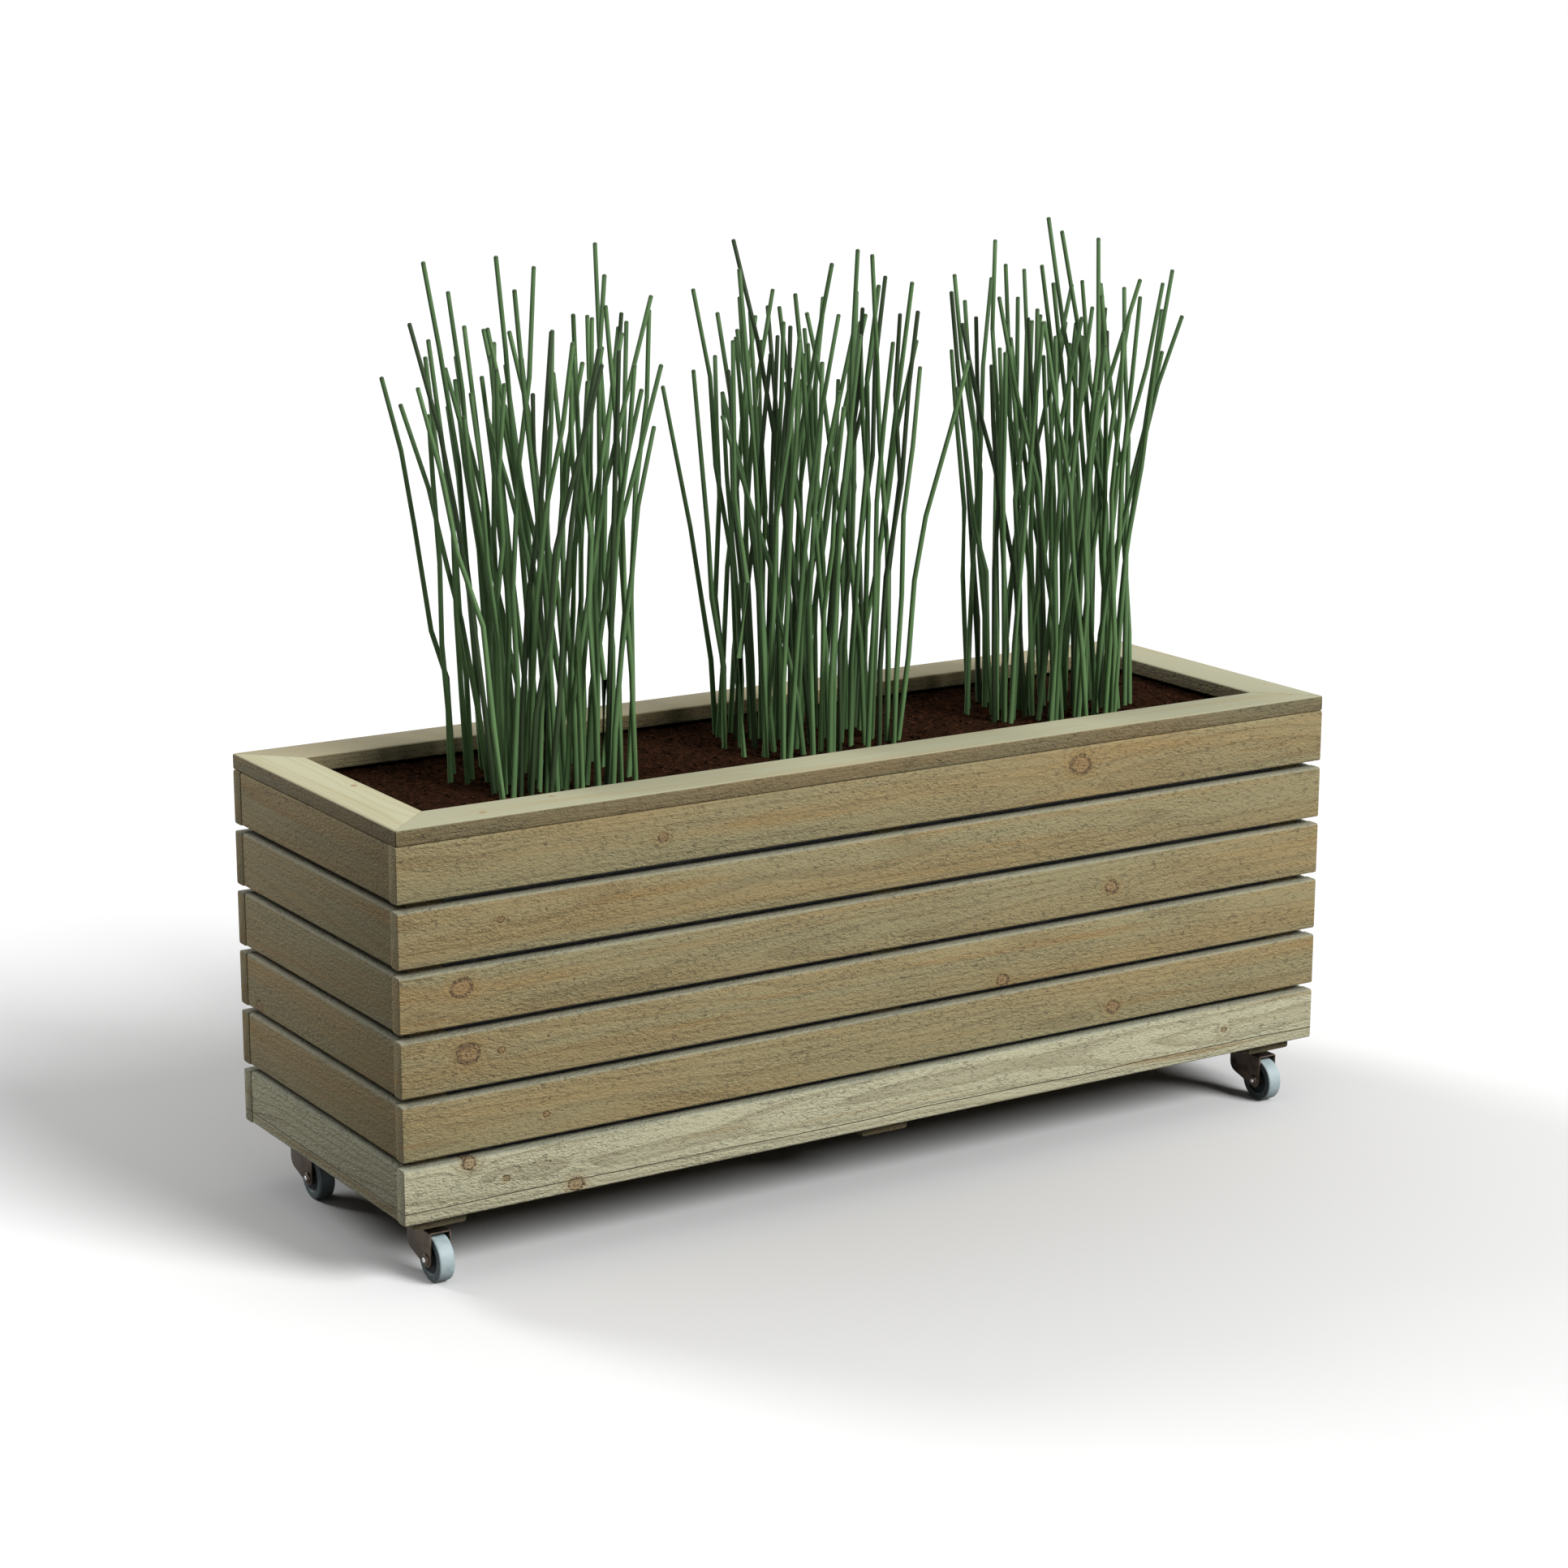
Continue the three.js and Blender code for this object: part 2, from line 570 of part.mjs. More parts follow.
function addCastors() {
  const plate = plateGeometry();
  const fork = forkGeometry();
  const axle = axleGeometry();
  const wheel = wheelGeometry();
  const y = troughDepth / 2 - castorInsetFromFace;
  const places = [['front_left', -1, -1], ['front_right', 1, -1],
    ['back_left', -1, 1], ['back_right', 1, 1]];
  for (const [corner, signX, signY] of places) {
    const castor = new THREE.Group();
    castor.position.set(signX * castorX(), signY * y, 0);
    place(`${corner}_castor_plate`, plate, finishes.steel, [0, 0, 0], castor);
    place(`${corner}_fork`, fork, finishes.steel, [0, 0, 0], castor);
    place(`${corner}_axle`, axle, finishes.bolt, [0, -trail, wheelRadius], castor);
    place(`${corner}_wheel`, wheel, finishes.wheel, [0, -trail, wheelRadius], castor);
    planter.add(castor);
  }
}

// ------------------------------------------------------------------- assembly

addSlats();
addCap();
addFrame();
addLinerAndSoil();
addRush();
addCastors();

export default planter;
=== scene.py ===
# %% [markdown]
# # A rolling planter
#
# A long trough of pressure treated softwood: six rows of slats with narrow gaps between them, and a
# mitred cap that frames the potting soil. Three clumps of rush grow in it, and it stands on four
# swivel castors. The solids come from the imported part, in metres, with X along the trough, Y from
# front to back and Z up. This notebook dresses them: finer meshes where the eye rests, and a finish
# for every surface.

# %% Load the solids
import math
import random

import bmesh
import bpy
from mathutils import Matrix, Vector, noise


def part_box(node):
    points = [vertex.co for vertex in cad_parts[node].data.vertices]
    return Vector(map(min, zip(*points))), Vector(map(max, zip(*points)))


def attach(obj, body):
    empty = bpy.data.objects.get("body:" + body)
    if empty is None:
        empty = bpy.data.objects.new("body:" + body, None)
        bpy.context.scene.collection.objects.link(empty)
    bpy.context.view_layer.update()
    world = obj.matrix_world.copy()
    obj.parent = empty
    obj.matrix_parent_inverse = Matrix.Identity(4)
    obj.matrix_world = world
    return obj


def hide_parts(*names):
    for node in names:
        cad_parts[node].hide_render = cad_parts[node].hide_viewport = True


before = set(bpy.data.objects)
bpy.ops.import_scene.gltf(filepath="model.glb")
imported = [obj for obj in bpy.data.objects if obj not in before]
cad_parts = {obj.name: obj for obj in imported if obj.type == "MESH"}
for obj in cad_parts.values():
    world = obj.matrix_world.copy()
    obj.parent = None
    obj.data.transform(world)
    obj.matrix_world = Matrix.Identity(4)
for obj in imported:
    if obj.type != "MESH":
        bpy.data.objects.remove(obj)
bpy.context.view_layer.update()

MM = 0.001

# %% [markdown]
# ## Camera
#
# The planter is seen from the front left and a little above, through a long lens. The lens and the
# place of the camera were worked out from the corners of the box in the picture, so the camera is
# three turns (up, round, and a hair of tilt) at a measured point.

# %% Camera
PICTURE = 1932
FOCAL_PIXELS = 4319.3
camera_data = bpy.data.cameras.new("camera")
camera_data.sensor_width = 36
camera_data.lens = camera_data.sensor_width * FOCAL_PIXELS / PICTURE
camera = bpy.data.objects.new("camera", camera_data)
bpy.context.scene.collection.objects.link(camera)
bpy.context.scene.camera = camera
eye = Vector((-2.0689, -3.2531, 1.3585))
AZIMUTH, ELEVATION, ROLL = -32.225, 13.632, 0.058
round_left = Matrix.Rotation(math.radians(AZIMUTH), 4, "Z")
look_down = Matrix.Rotation(math.radians(90 - ELEVATION), 4, "X")
tilt = Matrix.Rotation(math.radians(ROLL), 4, "Z")
camera.matrix_world = Matrix.Translation(eye) @ round_left @ look_down @ tilt
print("lens", round(camera_data.lens, 2), "mm")

# %% [markdown]
# ## Helpers for materials
#
# Colours are picked as sRGB hex values, as in any paint program, and one function turns them to the
# linear values that a shader works with. One more function adds a node, sets its values and wires
# its inputs. With those two, a material reads as a list of steps. The rest are the steps that come
# back in every material: a sum, a soft step, a tint, a relief and a stretched noise.


# %% Colours and nodes
def colour(code):
    """An sRGB hex code as a linear colour with full alpha."""
    shares = [int(code[i : i + 2], 16) / 255 for i in (1, 3, 5)]
    linear = [s / 12.92 if s <= 0.04045 else ((s + 0.055) / 1.055) ** 2.4 for s in shares]
    return (*linear, 1)


def add(tree, kind, inputs=None, **settings):
    """Adds a node: settings are its own options, inputs are values or the sockets to link."""
    node = tree.nodes.new("ShaderNode" + kind)
    for name, value in settings.items():
        setattr(node, name, value)
    for name, value in (inputs or {}).items():
        socket = node.inputs[name]
        if isinstance(value, bpy.types.NodeSocket):
            tree.links.new(value, socket)
        else:
            socket.default_value = value
    return node


def new_material(name, **values):
    """A material with one Principled shader. Returns it with its tree and shader."""
    material = bpy.data.materials.new(name)
    material.use_nodes = True
    tree = material.node_tree
    shader = tree.nodes["Principled BSDF"]
    for socket, value in values.items():
        shader.inputs[socket.replace("_", " ")].default_value = value
    return material, tree, shader


def sum_up(tree, operation, first, second=0.0, third=0.0, clamp=False):
    """The result of one Math node."""
    node = add(tree, "Math", {0: first, 1: second, 2: third}, operation=operation, use_clamp=clamp)
    return node.outputs[0]


def fade(tree, value, start, end, low=0.0, high=1.0):
    """A smooth step from low to high as value goes from start to end."""
    inputs = {"Value": value, "From Min": start, "From Max": end, "To Min": low, "To Max": high}
    return add(tree, "MapRange", inputs, interpolation_type="SMOOTHSTEP").outputs["Result"]


def tint(tree, amount, under, over, blend="MIX"):
    """One colour laid over another, as strongly as amount says."""
    node = add(tree, "Mix", {"Factor": amount, 6: under, 7: over}, data_type="RGBA", blend_type=blend)
    return node.outputs[2]


def emboss(tree, shader, height, distance, strength=1.0):
    """Shades the surface as if a height of 1 stood out by the given distance."""
    bump = add(tree, "Bump", {"Height": height, "Strength": strength, "Distance": distance})
    tree.links.new(bump.outputs[0], shader.inputs["Normal"])


def stretched(tree, vector, size, detail=2.0, roughness=0.5, distortion=0.0, seed=0.0):
    """Noise whose blots have the given size in metres along each axis, from 0 to 1."""
    scaled = add(tree, "VectorMath", {0: vector, 1: [1 / s for s in size]}, operation="MULTIPLY")
    inputs = {"Vector": scaled.outputs[0], "W": seed, "Scale": 1.0, "Detail": detail,
              "Roughness": roughness, "Distortion": distortion}
    return add(tree, "TexNoise", inputs, noise_dimensions="4D").outputs["Fac"]


# %% [markdown]
# ## Floor, backdrop and light
#
# The planter stands on a plain white studio floor. Two soft lamps light it: a strong one from the
# front right, which gives the front its tone and leaves the near end in shade, and a weaker one from
# behind on the left, which throws the pale shadow in front. The sky is bright overhead and dim at
# the horizon, so that the flat cap is the palest part of the timber. Sun lamps fall evenly on a
# floor of any size, so it stays white to its edge without a backdrop. The floor looks white to the
# camera and is greyer to everything else, so that it throws little light up at the sides.

# %% Floor
FLOOR_REACH = 40.0
floor_mesh = bpy.data.meshes.new("floor")
bm = bmesh.new()
bmesh.ops.create_grid(bm, x_segments=1, y_segments=1, size=FLOOR_REACH)
bm.to_mesh(floor_mesh)
bm.free()
floor = bpy.data.objects.new("floor", floor_mesh)
bpy.context.scene.collection.objects.link(floor)


def seen_directly(tree):
    """1 for what the camera sees, also in a mirror or through glass, and 0 for soft light."""
    path = add(tree, "LightPath")
    mirrored = sum_up(tree, "MAXIMUM", path.outputs["Is Camera Ray"], path.outputs["Is Glossy Ray"])
    return sum_up(tree, "MAXIMUM", mirrored, path.outputs["Is Transmission Ray"])


floor_material, tree, shader = new_material("matt_white_floor", Roughness=0.9)
shader.inputs["Specular IOR Level"].default_value = 0
floor_place = add(tree, "TexCoord").outputs["Object"]
distance = add(tree, "VectorMath", {0: floor_place}, operation="LENGTH").outputs["Value"]
# Painted shadow: the floor the camera sees is painted darker grey near the planter, a soft shadow round
# its foot, and grows paler further out.
floor_tone_with_painted_shadow = tint(tree, fade(tree, distance, 0.1, 1.1), colour("#cacaca"), colour("#ededed"))
floor_tone = tint(tree, seen_directly(tree), colour("#404040"), floor_tone_with_painted_shadow)
tree.links.new(floor_tone, shader.inputs["Base Color"])
floor_mesh.materials.append(floor_material)


# %% Lamps and sky
def sun(name, towards, strength, softness):
    """A sun that shines from the given side, with a disc of softness degrees."""
    lamp = bpy.data.lights.new(name, "SUN")
    lamp.energy = strength
    lamp.angle = math.radians(softness)
    holder = bpy.data.objects.new(name, lamp)
    holder.rotation_euler = Vector(towards).to_track_quat("Z", "Y").to_euler()
    bpy.context.scene.collection.objects.link(holder)


sun("front_lamp", (0.42, -0.90, 0.70), 3.95, 26)
sun("back_lamp", (-0.42, 0.90, 0.62), 1.5, 20)

sky = bpy.data.worlds.new("sky")
bpy.context.scene.world = sky
sky.use_nodes = True
tree = sky.node_tree
background = tree.nodes["Background"]
direction = add(tree, "SeparateXYZ", {0: add(tree, "TexCoord").outputs["Generated"]})
overhead = fade(tree, direction.outputs["Z"], 0.5, 0.95, 0.02, 0.7)
strength = tint(tree, seen_directly(tree), overhead, (1, 1, 1, 1))
tree.links.new(strength, background.inputs["Color"])
bpy.context.scene.view_settings.view_transform = "Standard"


# %% [markdown]
# ## Making pieces
#
# Every piece is a mesh in the frame of the whole planter, with its object at the origin, as the
# solids are. `piece` makes the object, gives it its finish and hangs it on the body that carries
# it. The solids it stands for stay in the part but are no longer shown.


# %% Pieces
def piece(name, bm, materials, body, nodes=(), smooth_below=40):
    """Turns a bmesh into a shown piece that rides on a body and stands for CAD nodes."""
    mesh = bpy.data.meshes.new(name)
    bm.to_mesh(mesh)
    bm.free()
    for material in materials:
        mesh.materials.append(material)
    thing = bpy.data.objects.new(name, mesh)
    bpy.context.scene.collection.objects.link(thing)
    mesh.shade_smooth()
    mesh.set_sharp_from_angle(angle=math.radians(smooth_below))
    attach(thing, body)
    if nodes:
        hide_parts(*nodes)
    return thing


# %% [markdown]
# ## Timber
#
# The boards are softwood that was sawn rough and pressure treated, which leaves them olive tan with
# a torn, leathery face. A picture of timber would repeat and stretch, so the grain is worked out in
# the solid: a board is cut from a round log, and its growth rings are circles round the log's heart.
# Where a flat face cuts them they draw stripes and long flames, and the sawn ends show arcs, with no
# seam between the faces. A knot is the foot of a branch, and the rings swerve round it. The saw also
# tore fibres out, which left bumps a few millimetres long with short creases between them, painted
# dark as the shade that falls in them.
#
# In a board's own coordinates X runs along the grain, Y through the board and Z across its face.

# %% Timber: values
RING_SPACING = 4.2 * MM
RING_WANDER = 16 * MM
LATEWOOD_END = 0.92
HEART_DEPTH = (30 * MM, 70 * MM)
HEART_OFFSET = 40 * MM
TORN_GRAIN = 4.2 * MM
FIBRE = 0.9 * MM
PINHOLE_SPACING = 60 * MM
KNOT_EDGE = 1.02
CRACK_WANDER = 9 * MM

OLIVE_TAN = "#938a66"
WARM_TAN = "#99865c"
WASHED = "#b9b698"
# The pale grey of the painted highlight on the slats' top edges.
PAINTED_EDGE_HIGHLIGHT = "#8f9180"
LATEWOOD = "#6b5b3b"
RESIN_STREAK = "#93723f"
# The painted shade in torn creases and in the drying crack.
PAINTED_HOLLOW_SHADE = "#4e422c"
KNOT_HEART = "#957650"
KNOT_RIM = "#40301c"
PLANED = "#9e9d83"
PLANED_PALE = "#b1af90"
PLANED_TAN = "#9c9478"


# %% Timber: growth rings
def swerve_round_knots(tree, place, knots):
    """How far the rings are pushed out by the knots, and each knot's own distance field."""
    push, fields = 0.0, []
    for along, across, radius in knots:
        from_knot = add(tree, "VectorMath", {0: place, 1: (along, 0, across)}, operation="SUBTRACT")
        squeeze = (0.8 / radius, 0, 1 / radius)
        scaled = add(tree, "VectorMath", {0: from_knot.outputs[0], 1: squeeze}, operation="MULTIPLY")
        ragged = stretched(tree, place, (radius, radius, radius), detail=1.0)
        distance = add(tree, "VectorMath", {0: scaled.outputs[0]}, operation="LENGTH").outputs["Value"]
        field = sum_up(tree, "ADD", distance, sum_up(tree, "MULTIPLY", ragged, 0.5))
        squared = sum_up(tree, "POWER", field, 2.0)
        bell = sum_up(tree, "EXPONENT", sum_up(tree, "MULTIPLY", squared, -0.35))
        push = sum_up(tree, "MULTIPLY_ADD", bell, 1.6 * radius, push)
        fields.append(field)
    return push, fields


def growth_rings(tree, place, heart, lean, push, seed):
    """Latewood as a share from 0 to 1: thin dark rims, one for each year round the heart."""
    parts = add(tree, "SeparateXYZ", {0: place})
    wander = stretched(tree, place, (0.35, 0.05, 0.05), detail=1.5, seed=seed)
    drift = sum_up(tree, "MULTIPLY_ADD", parts.outputs["X"], lean, heart[0])
    through = sum_up(tree, "SUBTRACT", parts.outputs["Y"], drift)
    across = sum_up(tree, "SUBTRACT", parts.outputs["Z"], heart[1])
    ring_place = add(tree, "CombineXYZ", {"X": through, "Y": across})
    radius = add(tree, "VectorMath", {0: ring_place.outputs[0]}, operation="LENGTH").outputs["Value"]
    wavy = sum_up(tree, "MULTIPLY_ADD", wander, RING_WANDER, sum_up(tree, "ADD", radius, push))
    year = sum_up(tree, "FRACT", sum_up(tree, "DIVIDE", wavy, RING_SPACING))
    rise = fade(tree, year, 0.5, LATEWOOD_END)
    fall = fade(tree, year, LATEWOOD_END, 1.0, 1.0, 0.0)
    return sum_up(tree, "MULTIPLY", rise, fall)


# %% Timber: torn face
def torn_face(tree, place, seed):
    """The relief of a rough sawn face in millimetres, and how deep its creases are, from 0 to 1."""
    def wrinkles(length, width, distortion, offset):
        size = (length * TORN_GRAIN, width * TORN_GRAIN, width * TORN_GRAIN)
        return stretched(tree, place, size, 3.0, 0.6, distortion, seed + offset)

    line = sum_up(tree, "ABSOLUTE", sum_up(tree, "SUBTRACT", wrinkles(1.5, 0.7, 0.8, 2), 0.5))
    dashes = fade(tree, wrinkles(2.2, 1.1, 0.0, 6), 0.51, 0.64)
    crease = sum_up(tree, "MULTIPLY", fade(tree, line, 0.055, 0.0), dashes)
    patches = stretched(tree, place, (0.14, 0.02, 0.025), 2.0, 0.6, 0.0, seed + 3)
    rough_share = fade(tree, patches, 0.36, 0.64, 0.5, 1.0)
    crease = sum_up(tree, "MULTIPLY", crease, rough_share)
    relief = fade(tree, wrinkles(1.6, 0.7, 0.3, 0), 0.3, 0.7, 0.0, 0.9)
    relief = sum_up(tree, "ADD", relief, fade(tree, wrinkles(0.8, 0.4, 0.3, 4), 0.3, 0.7, 0.0, 0.6))
    relief = sum_up(tree, "MULTIPLY", relief, rough_share)
    return sum_up(tree, "MULTIPLY_ADD", crease, -0.8, relief), crease


# %% Timber: knots and pinholes
def add_knots(tree, place, fields, surface, height):
    """Paints each knot: a broken dark rim, a few broken rings in its heart, and a stained halo."""
    chips = stretched(tree, place, (3 * MM, 3 * MM, 3 * MM), 2.0, 0.6)
    broken = fade(tree, chips, 0.4, 0.58, 0.15, 1.0)
    for field in fields:
        inside = fade(tree, field, 1.2, 0.95)
        off_rim = sum_up(tree, "ABSOLUTE", sum_up(tree, "SUBTRACT", field, KNOT_EDGE))
        rim = fade(tree, off_rim, 0.28, 0.06)
        years = sum_up(tree, "SINE", sum_up(tree, "MULTIPLY", field, 16.0))
        marks = sum_up(tree, "MULTIPLY", inside, fade(tree, years, 0.2, 1.0, 0.0, 0.7))
        marks = sum_up(tree, "MULTIPLY", sum_up(tree, "MAXIMUM", rim, marks), broken)
        surface = tint(tree, fade(tree, field, 2.2, 1.0, 0.0, 0.3), surface, colour(RESIN_STREAK))
        surface = tint(tree, sum_up(tree, "MULTIPLY", inside, 0.55), surface, colour(KNOT_HEART))
        surface = tint(tree, sum_up(tree, "MULTIPLY", marks, 0.9), surface, colour(KNOT_RIM))
        height = sum_up(tree, "MULTIPLY_ADD", marks, -0.6, height)
    return surface, height


def add_pinholes(tree, place, surface, height):
    """Scatters a few dark dots, the feet of twigs."""
    pinholes = add(tree, "TexVoronoi", {"Vector": place, "Scale": 1 / PINHOLE_SPACING})
    chosen = add(tree, "SeparateColor", {0: pinholes.outputs["Color"]}).outputs["Red"]
    dot = fade(tree, pinholes.outputs["Distance"], 0.030, 0.016)
    dot = sum_up(tree, "MULTIPLY", dot, fade(tree, chosen, 0.45, 0.5))
    surface = tint(tree, sum_up(tree, "MULTIPLY", dot, 0.7), surface, colour(KNOT_RIM))
    return surface, sum_up(tree, "MULTIPLY_ADD", dot, -0.8, height)


# %% Timber: the material
def timber(name, centre, turn, seed, knots=(), streaks=0.5, planed=0.0, bold=0.3, shade=1.0,
           washed=0.0, split=None, planed_tone=PLANED, painted_highlight_edge=None):
    """Rough sawn softwood for one board. centre and turn put the log's coordinates on the board,
    knots are (along, across, radius), bold is how clearly the rings show, planed is the level
    through the board above which it is planed smooth, washed is how pale and green it was treated,
    split is the level across the face of a drying crack, with torn timber below it, planed_tone is
    the colour of the planed face, shade darkens the rough faces as painted shade, and the last
    argument is the level above which the top edge is painted pale grey, a painted highlight where
    its round catches the light from above."""
    luck = random.Random(seed)
    material, tree, shader = new_material(name, Roughness=0.82)
    coordinates = add(tree, "TexCoord").outputs["Object"]
    inputs = {"Vector": coordinates, "Location": centre, "Rotation": turn}
    place = add(tree, "Mapping", inputs, vector_type="TEXTURE").outputs[0]
    parts = add(tree, "SeparateXYZ", {0: place})

    heart = (luck.uniform(*HEART_DEPTH), luck.uniform(-HEART_OFFSET, HEART_OFFSET))
    push, fields = swerve_round_knots(tree, place, knots)
    rings = growth_rings(tree, place, heart, luck.uniform(-0.02, 0.02), push, seed)
    height, crease = torn_face(tree, place, seed)
    fibre = stretched(tree, place, (25 * FIBRE, FIBRE, FIBRE), 2.0, 0.6, 0.0, seed + 5)
    belts = stretched(tree, place, (0.5, 0.04, 0.03), 2.0, 0.5, 0.3, seed + 7)
    streak_field = stretched(tree, place, (0.45, 0.03, 0.014), 2.0, 0.5, 0.2, seed + 9)
    blotches = stretched(tree, place, (0.05, 0.02, 0.016), 3.0, 0.6, 0.4, seed + 11)

    surface = tint(tree, fade(tree, belts, 0.35, 0.65), colour(OLIVE_TAN), colour(WARM_TAN))
    surface = tint(tree, washed, surface, colour(WASHED))
    surface = tint(tree, sum_up(tree, "MULTIPLY", rings, bold), surface, colour(LATEWOOD))
    streak = fade(tree, streak_field, 0.56, 0.7, 0.0, streaks)
    surface = tint(tree, streak, surface, colour(RESIN_STREAK))
    surface = tint(tree, fade(tree, blotches, 0.55, 0.7, 0.0, 0.12), surface, colour(LATEWOOD))
    surface = tint(tree, fade(tree, fibre, 0.3, 0.7, 0.16, 0.0), surface, colour(LATEWOOD))
    # Painted shade: the torn creases are painted dark, as the shade that falls in them.
    surface = tint(tree, sum_up(tree, "MULTIPLY", crease, 0.55), surface, colour(PAINTED_HOLLOW_SHADE))
    height = sum_up(tree, "MULTIPLY_ADD", fibre, 0.3, height)
    height = sum_up(tree, "MULTIPLY_ADD", rings, 0.12, height)

    if split is not None:
        wander = stretched(tree, place, (0.3, 1, 1), 3.0, 0.5, 0.0, seed + 13)
        level = sum_up(tree, "MULTIPLY_ADD", wander, CRACK_WANDER, split - CRACK_WANDER / 2)
        below = sum_up(tree, "SUBTRACT", level, parts.outputs["Z"])
        crack = fade(tree, sum_up(tree, "ABSOLUTE", below), 0.9 * MM, 0.1 * MM)
        # Painted shade: the drying crack is drawn as a dark line, the shade inside it.
        surface = tint(tree, sum_up(tree, "MULTIPLY", crack, 0.75), surface, colour(PAINTED_HOLLOW_SHADE))
        height = sum_up(tree, "MULTIPLY_ADD", crack, -1.2, height)
        height = sum_up(tree, "MULTIPLY_ADD", fade(tree, below, -MM, MM), crease, height)

    # Painted highlight: above this level the top edge is painted pale grey, where its round catches the
    # light from above.
    if painted_highlight_edge:
        painted_highlight = fade(tree, parts.outputs["Z"], painted_highlight_edge, painted_highlight_edge + 1.6 * MM, 0.0, 0.7)
        surface = tint(tree, painted_highlight, surface, colour(PAINTED_EDGE_HIGHLIGHT))
    surface, height = add_knots(tree, place, fields, surface, height)
    surface, height = add_pinholes(tree, place, surface, height)

    # Painted shade: the rough faces are darkened all over, for boards that lie in shade.
    if shade != 1.0:
        surface = tint(tree, 1.0, surface, (shade, shade, shade, 1), "MULTIPLY")
    if planed:
        smooth = fade(tree, parts.outputs["Y"], planed - 1.2 * MM, planed - 0.3 * MM)
        pale = tint(tree, sum_up(tree, "MULTIPLY", rings, 0.3), colour(planed_tone), colour(WARM_TAN))
        pale = tint(tree, fade(tree, belts, 0.5, 0.75, 0.0, 0.35), pale, colour(WARM_TAN))
        for field in fields:
            pale = tint(tree, fade(tree, field, 1.2, 0.8, 0.0, 0.8), pale, colour(KNOT_HEART))
            pale = tint(tree, fade(tree, field, 0.6, 0.3, 0.0, 0.7), pale, colour(KNOT_RIM))
        surface = tint(tree, smooth, surface, pale)
        level = sum_up(tree, "MULTIPLY", fibre, 0.08)
        height = add(tree, "Mix", {"Factor": smooth, 2: height, 3: level}).outputs[0]

    tree.links.new(surface, shader.inputs["Base Color"])
    emboss(tree, shader, height, MM)
    return material


# %% [markdown]
# ## Slats
#
# A slat is a plain board with its long edges rounded by the planer and its ends sawn square. A cube
# scaled to the board and bevelled twice gives that: 3 mm on the long edges, and a fine 0.8 mm on the
# ends, where only the saw's burr was taken off. The size and place of each one come from its solid.
# The lowest slats are from a paler batch, with a drying crack along them, and the top edge of every
# slat under a gap gets a painted highlight: a pale grey band where its round catches the light
# from above.

# %% Slats: shape
LONG_EDGE_RADIUS = 3 * MM
END_EDGE_RADIUS = 0.8 * MM


def board(low, high, along, edge_radius, end_radius=END_EDGE_RADIUS):
    """A bmesh of a board that fills the box from low to high, with its grain along an axis."""
    bm = bmesh.new()
    size, centre = high - low, (high + low) / 2
    bmesh.ops.create_cube(bm, size=1)
    bmesh.ops.scale(bm, vec=size, verts=bm.verts)
    bmesh.ops.translate(bm, vec=centre, verts=bm.verts)
    long_edges = [e for e in bm.edges if abs((e.verts[0].co - e.verts[1].co)[along]) > 1e-6]
    bmesh.ops.bevel(bm, geom=long_edges, offset=edge_radius, offset_type="OFFSET", segments=4,
                    profile=0.5, affect="EDGES", material=-1)
    ends = [f for f in bm.faces if abs(f.normal[along]) > 0.9]
    rim = list({e for f in ends for e in f.edges})
    bmesh.ops.bevel(bm, geom=rim, offset=end_radius, offset_type="OFFSET", segments=2,
                    profile=0.5, affect="EDGES", material=-1)
    return bm


# %% [markdown]
# The knots that catch the eye are placed where the picture shows them, by their pixel on the front
# face. A ray from the camera through that pixel meets the face at the knot. The backs and the far
# end aren't seen, so their knots fall by chance, as they do on timber.


# %% Slats: knots
def through_pixel(pixel, axis, level):
    """Where the ray from the camera through a pixel of the picture meets a plane."""
    right, up, back = (camera.matrix_world.to_3x3().col[i] for i in range(3))
    across, down = pixel[0] - PICTURE / 2, pixel[1] - PICTURE / 2
    ray = right * across - up * down - back * FOCAL_PIXELS
    return eye + ray * ((level - eye[axis]) / ray[axis])


FRONT_KNOTS = {
    1: [((1332, 942), 13), ((817, 1032), 6)],
    2: [((738, 1077), 4), ((617, 1133), 4), ((1513, 1133), 3)],
    3: [((568, 1218), 12), ((1370, 1093), 9)],
    4: [((577, 1299), 13), ((618, 1294), 4), ((1235, 1208), 8)],
    5: [((1371, 1240), 9), ((673, 1373), 4)],
    6: [((578, 1434), 8), ((710, 1459), 9), ((624, 1452), 4), ((1508, 1268), 4)],
}
LEFT_KNOTS = {4: [((320, 1240), 8)]}
luck = random.Random(11)


def chance_knots(half_length, half_width, count):
    """Knots at random places on a face that the picture doesn't show."""
    spots = []
    for _ in range(count):
        along = luck.uniform(-0.9, 0.9) * half_length
        across = luck.uniform(-0.7, 0.7) * half_width
        spots.append((along, across, luck.uniform(4, 11) * MM))
    return spots


def knots_on(side, row, low, high):
    """The knots of one slat, as (along, across, radius) from its centre."""
    centre = (low + high) / 2
    if side == "front":
        seen = [(through_pixel(p, 1, low.y), r) for p, r in FRONT_KNOTS.get(row, ())]
        return [(spot.x - centre.x, spot.z - centre.z, r * MM) for spot, r in seen]
    if side == "left":
        seen = [(through_pixel(p, 0, low.x), r) for p, r in LEFT_KNOTS.get(row, ())]
        return [(spot.y - centre.y, spot.z - centre.z, r * MM) for spot, r in seen]
    half = (high - low) / 2
    return chance_knots(half.x if side == "back" else half.y, half.z, 3 if side == "back" else 1)


# %% Slats: all four sides
ROWS = 6
ALONG_Y = (0, 0, math.radians(90))
DRYING_CRACK = -17 * MM
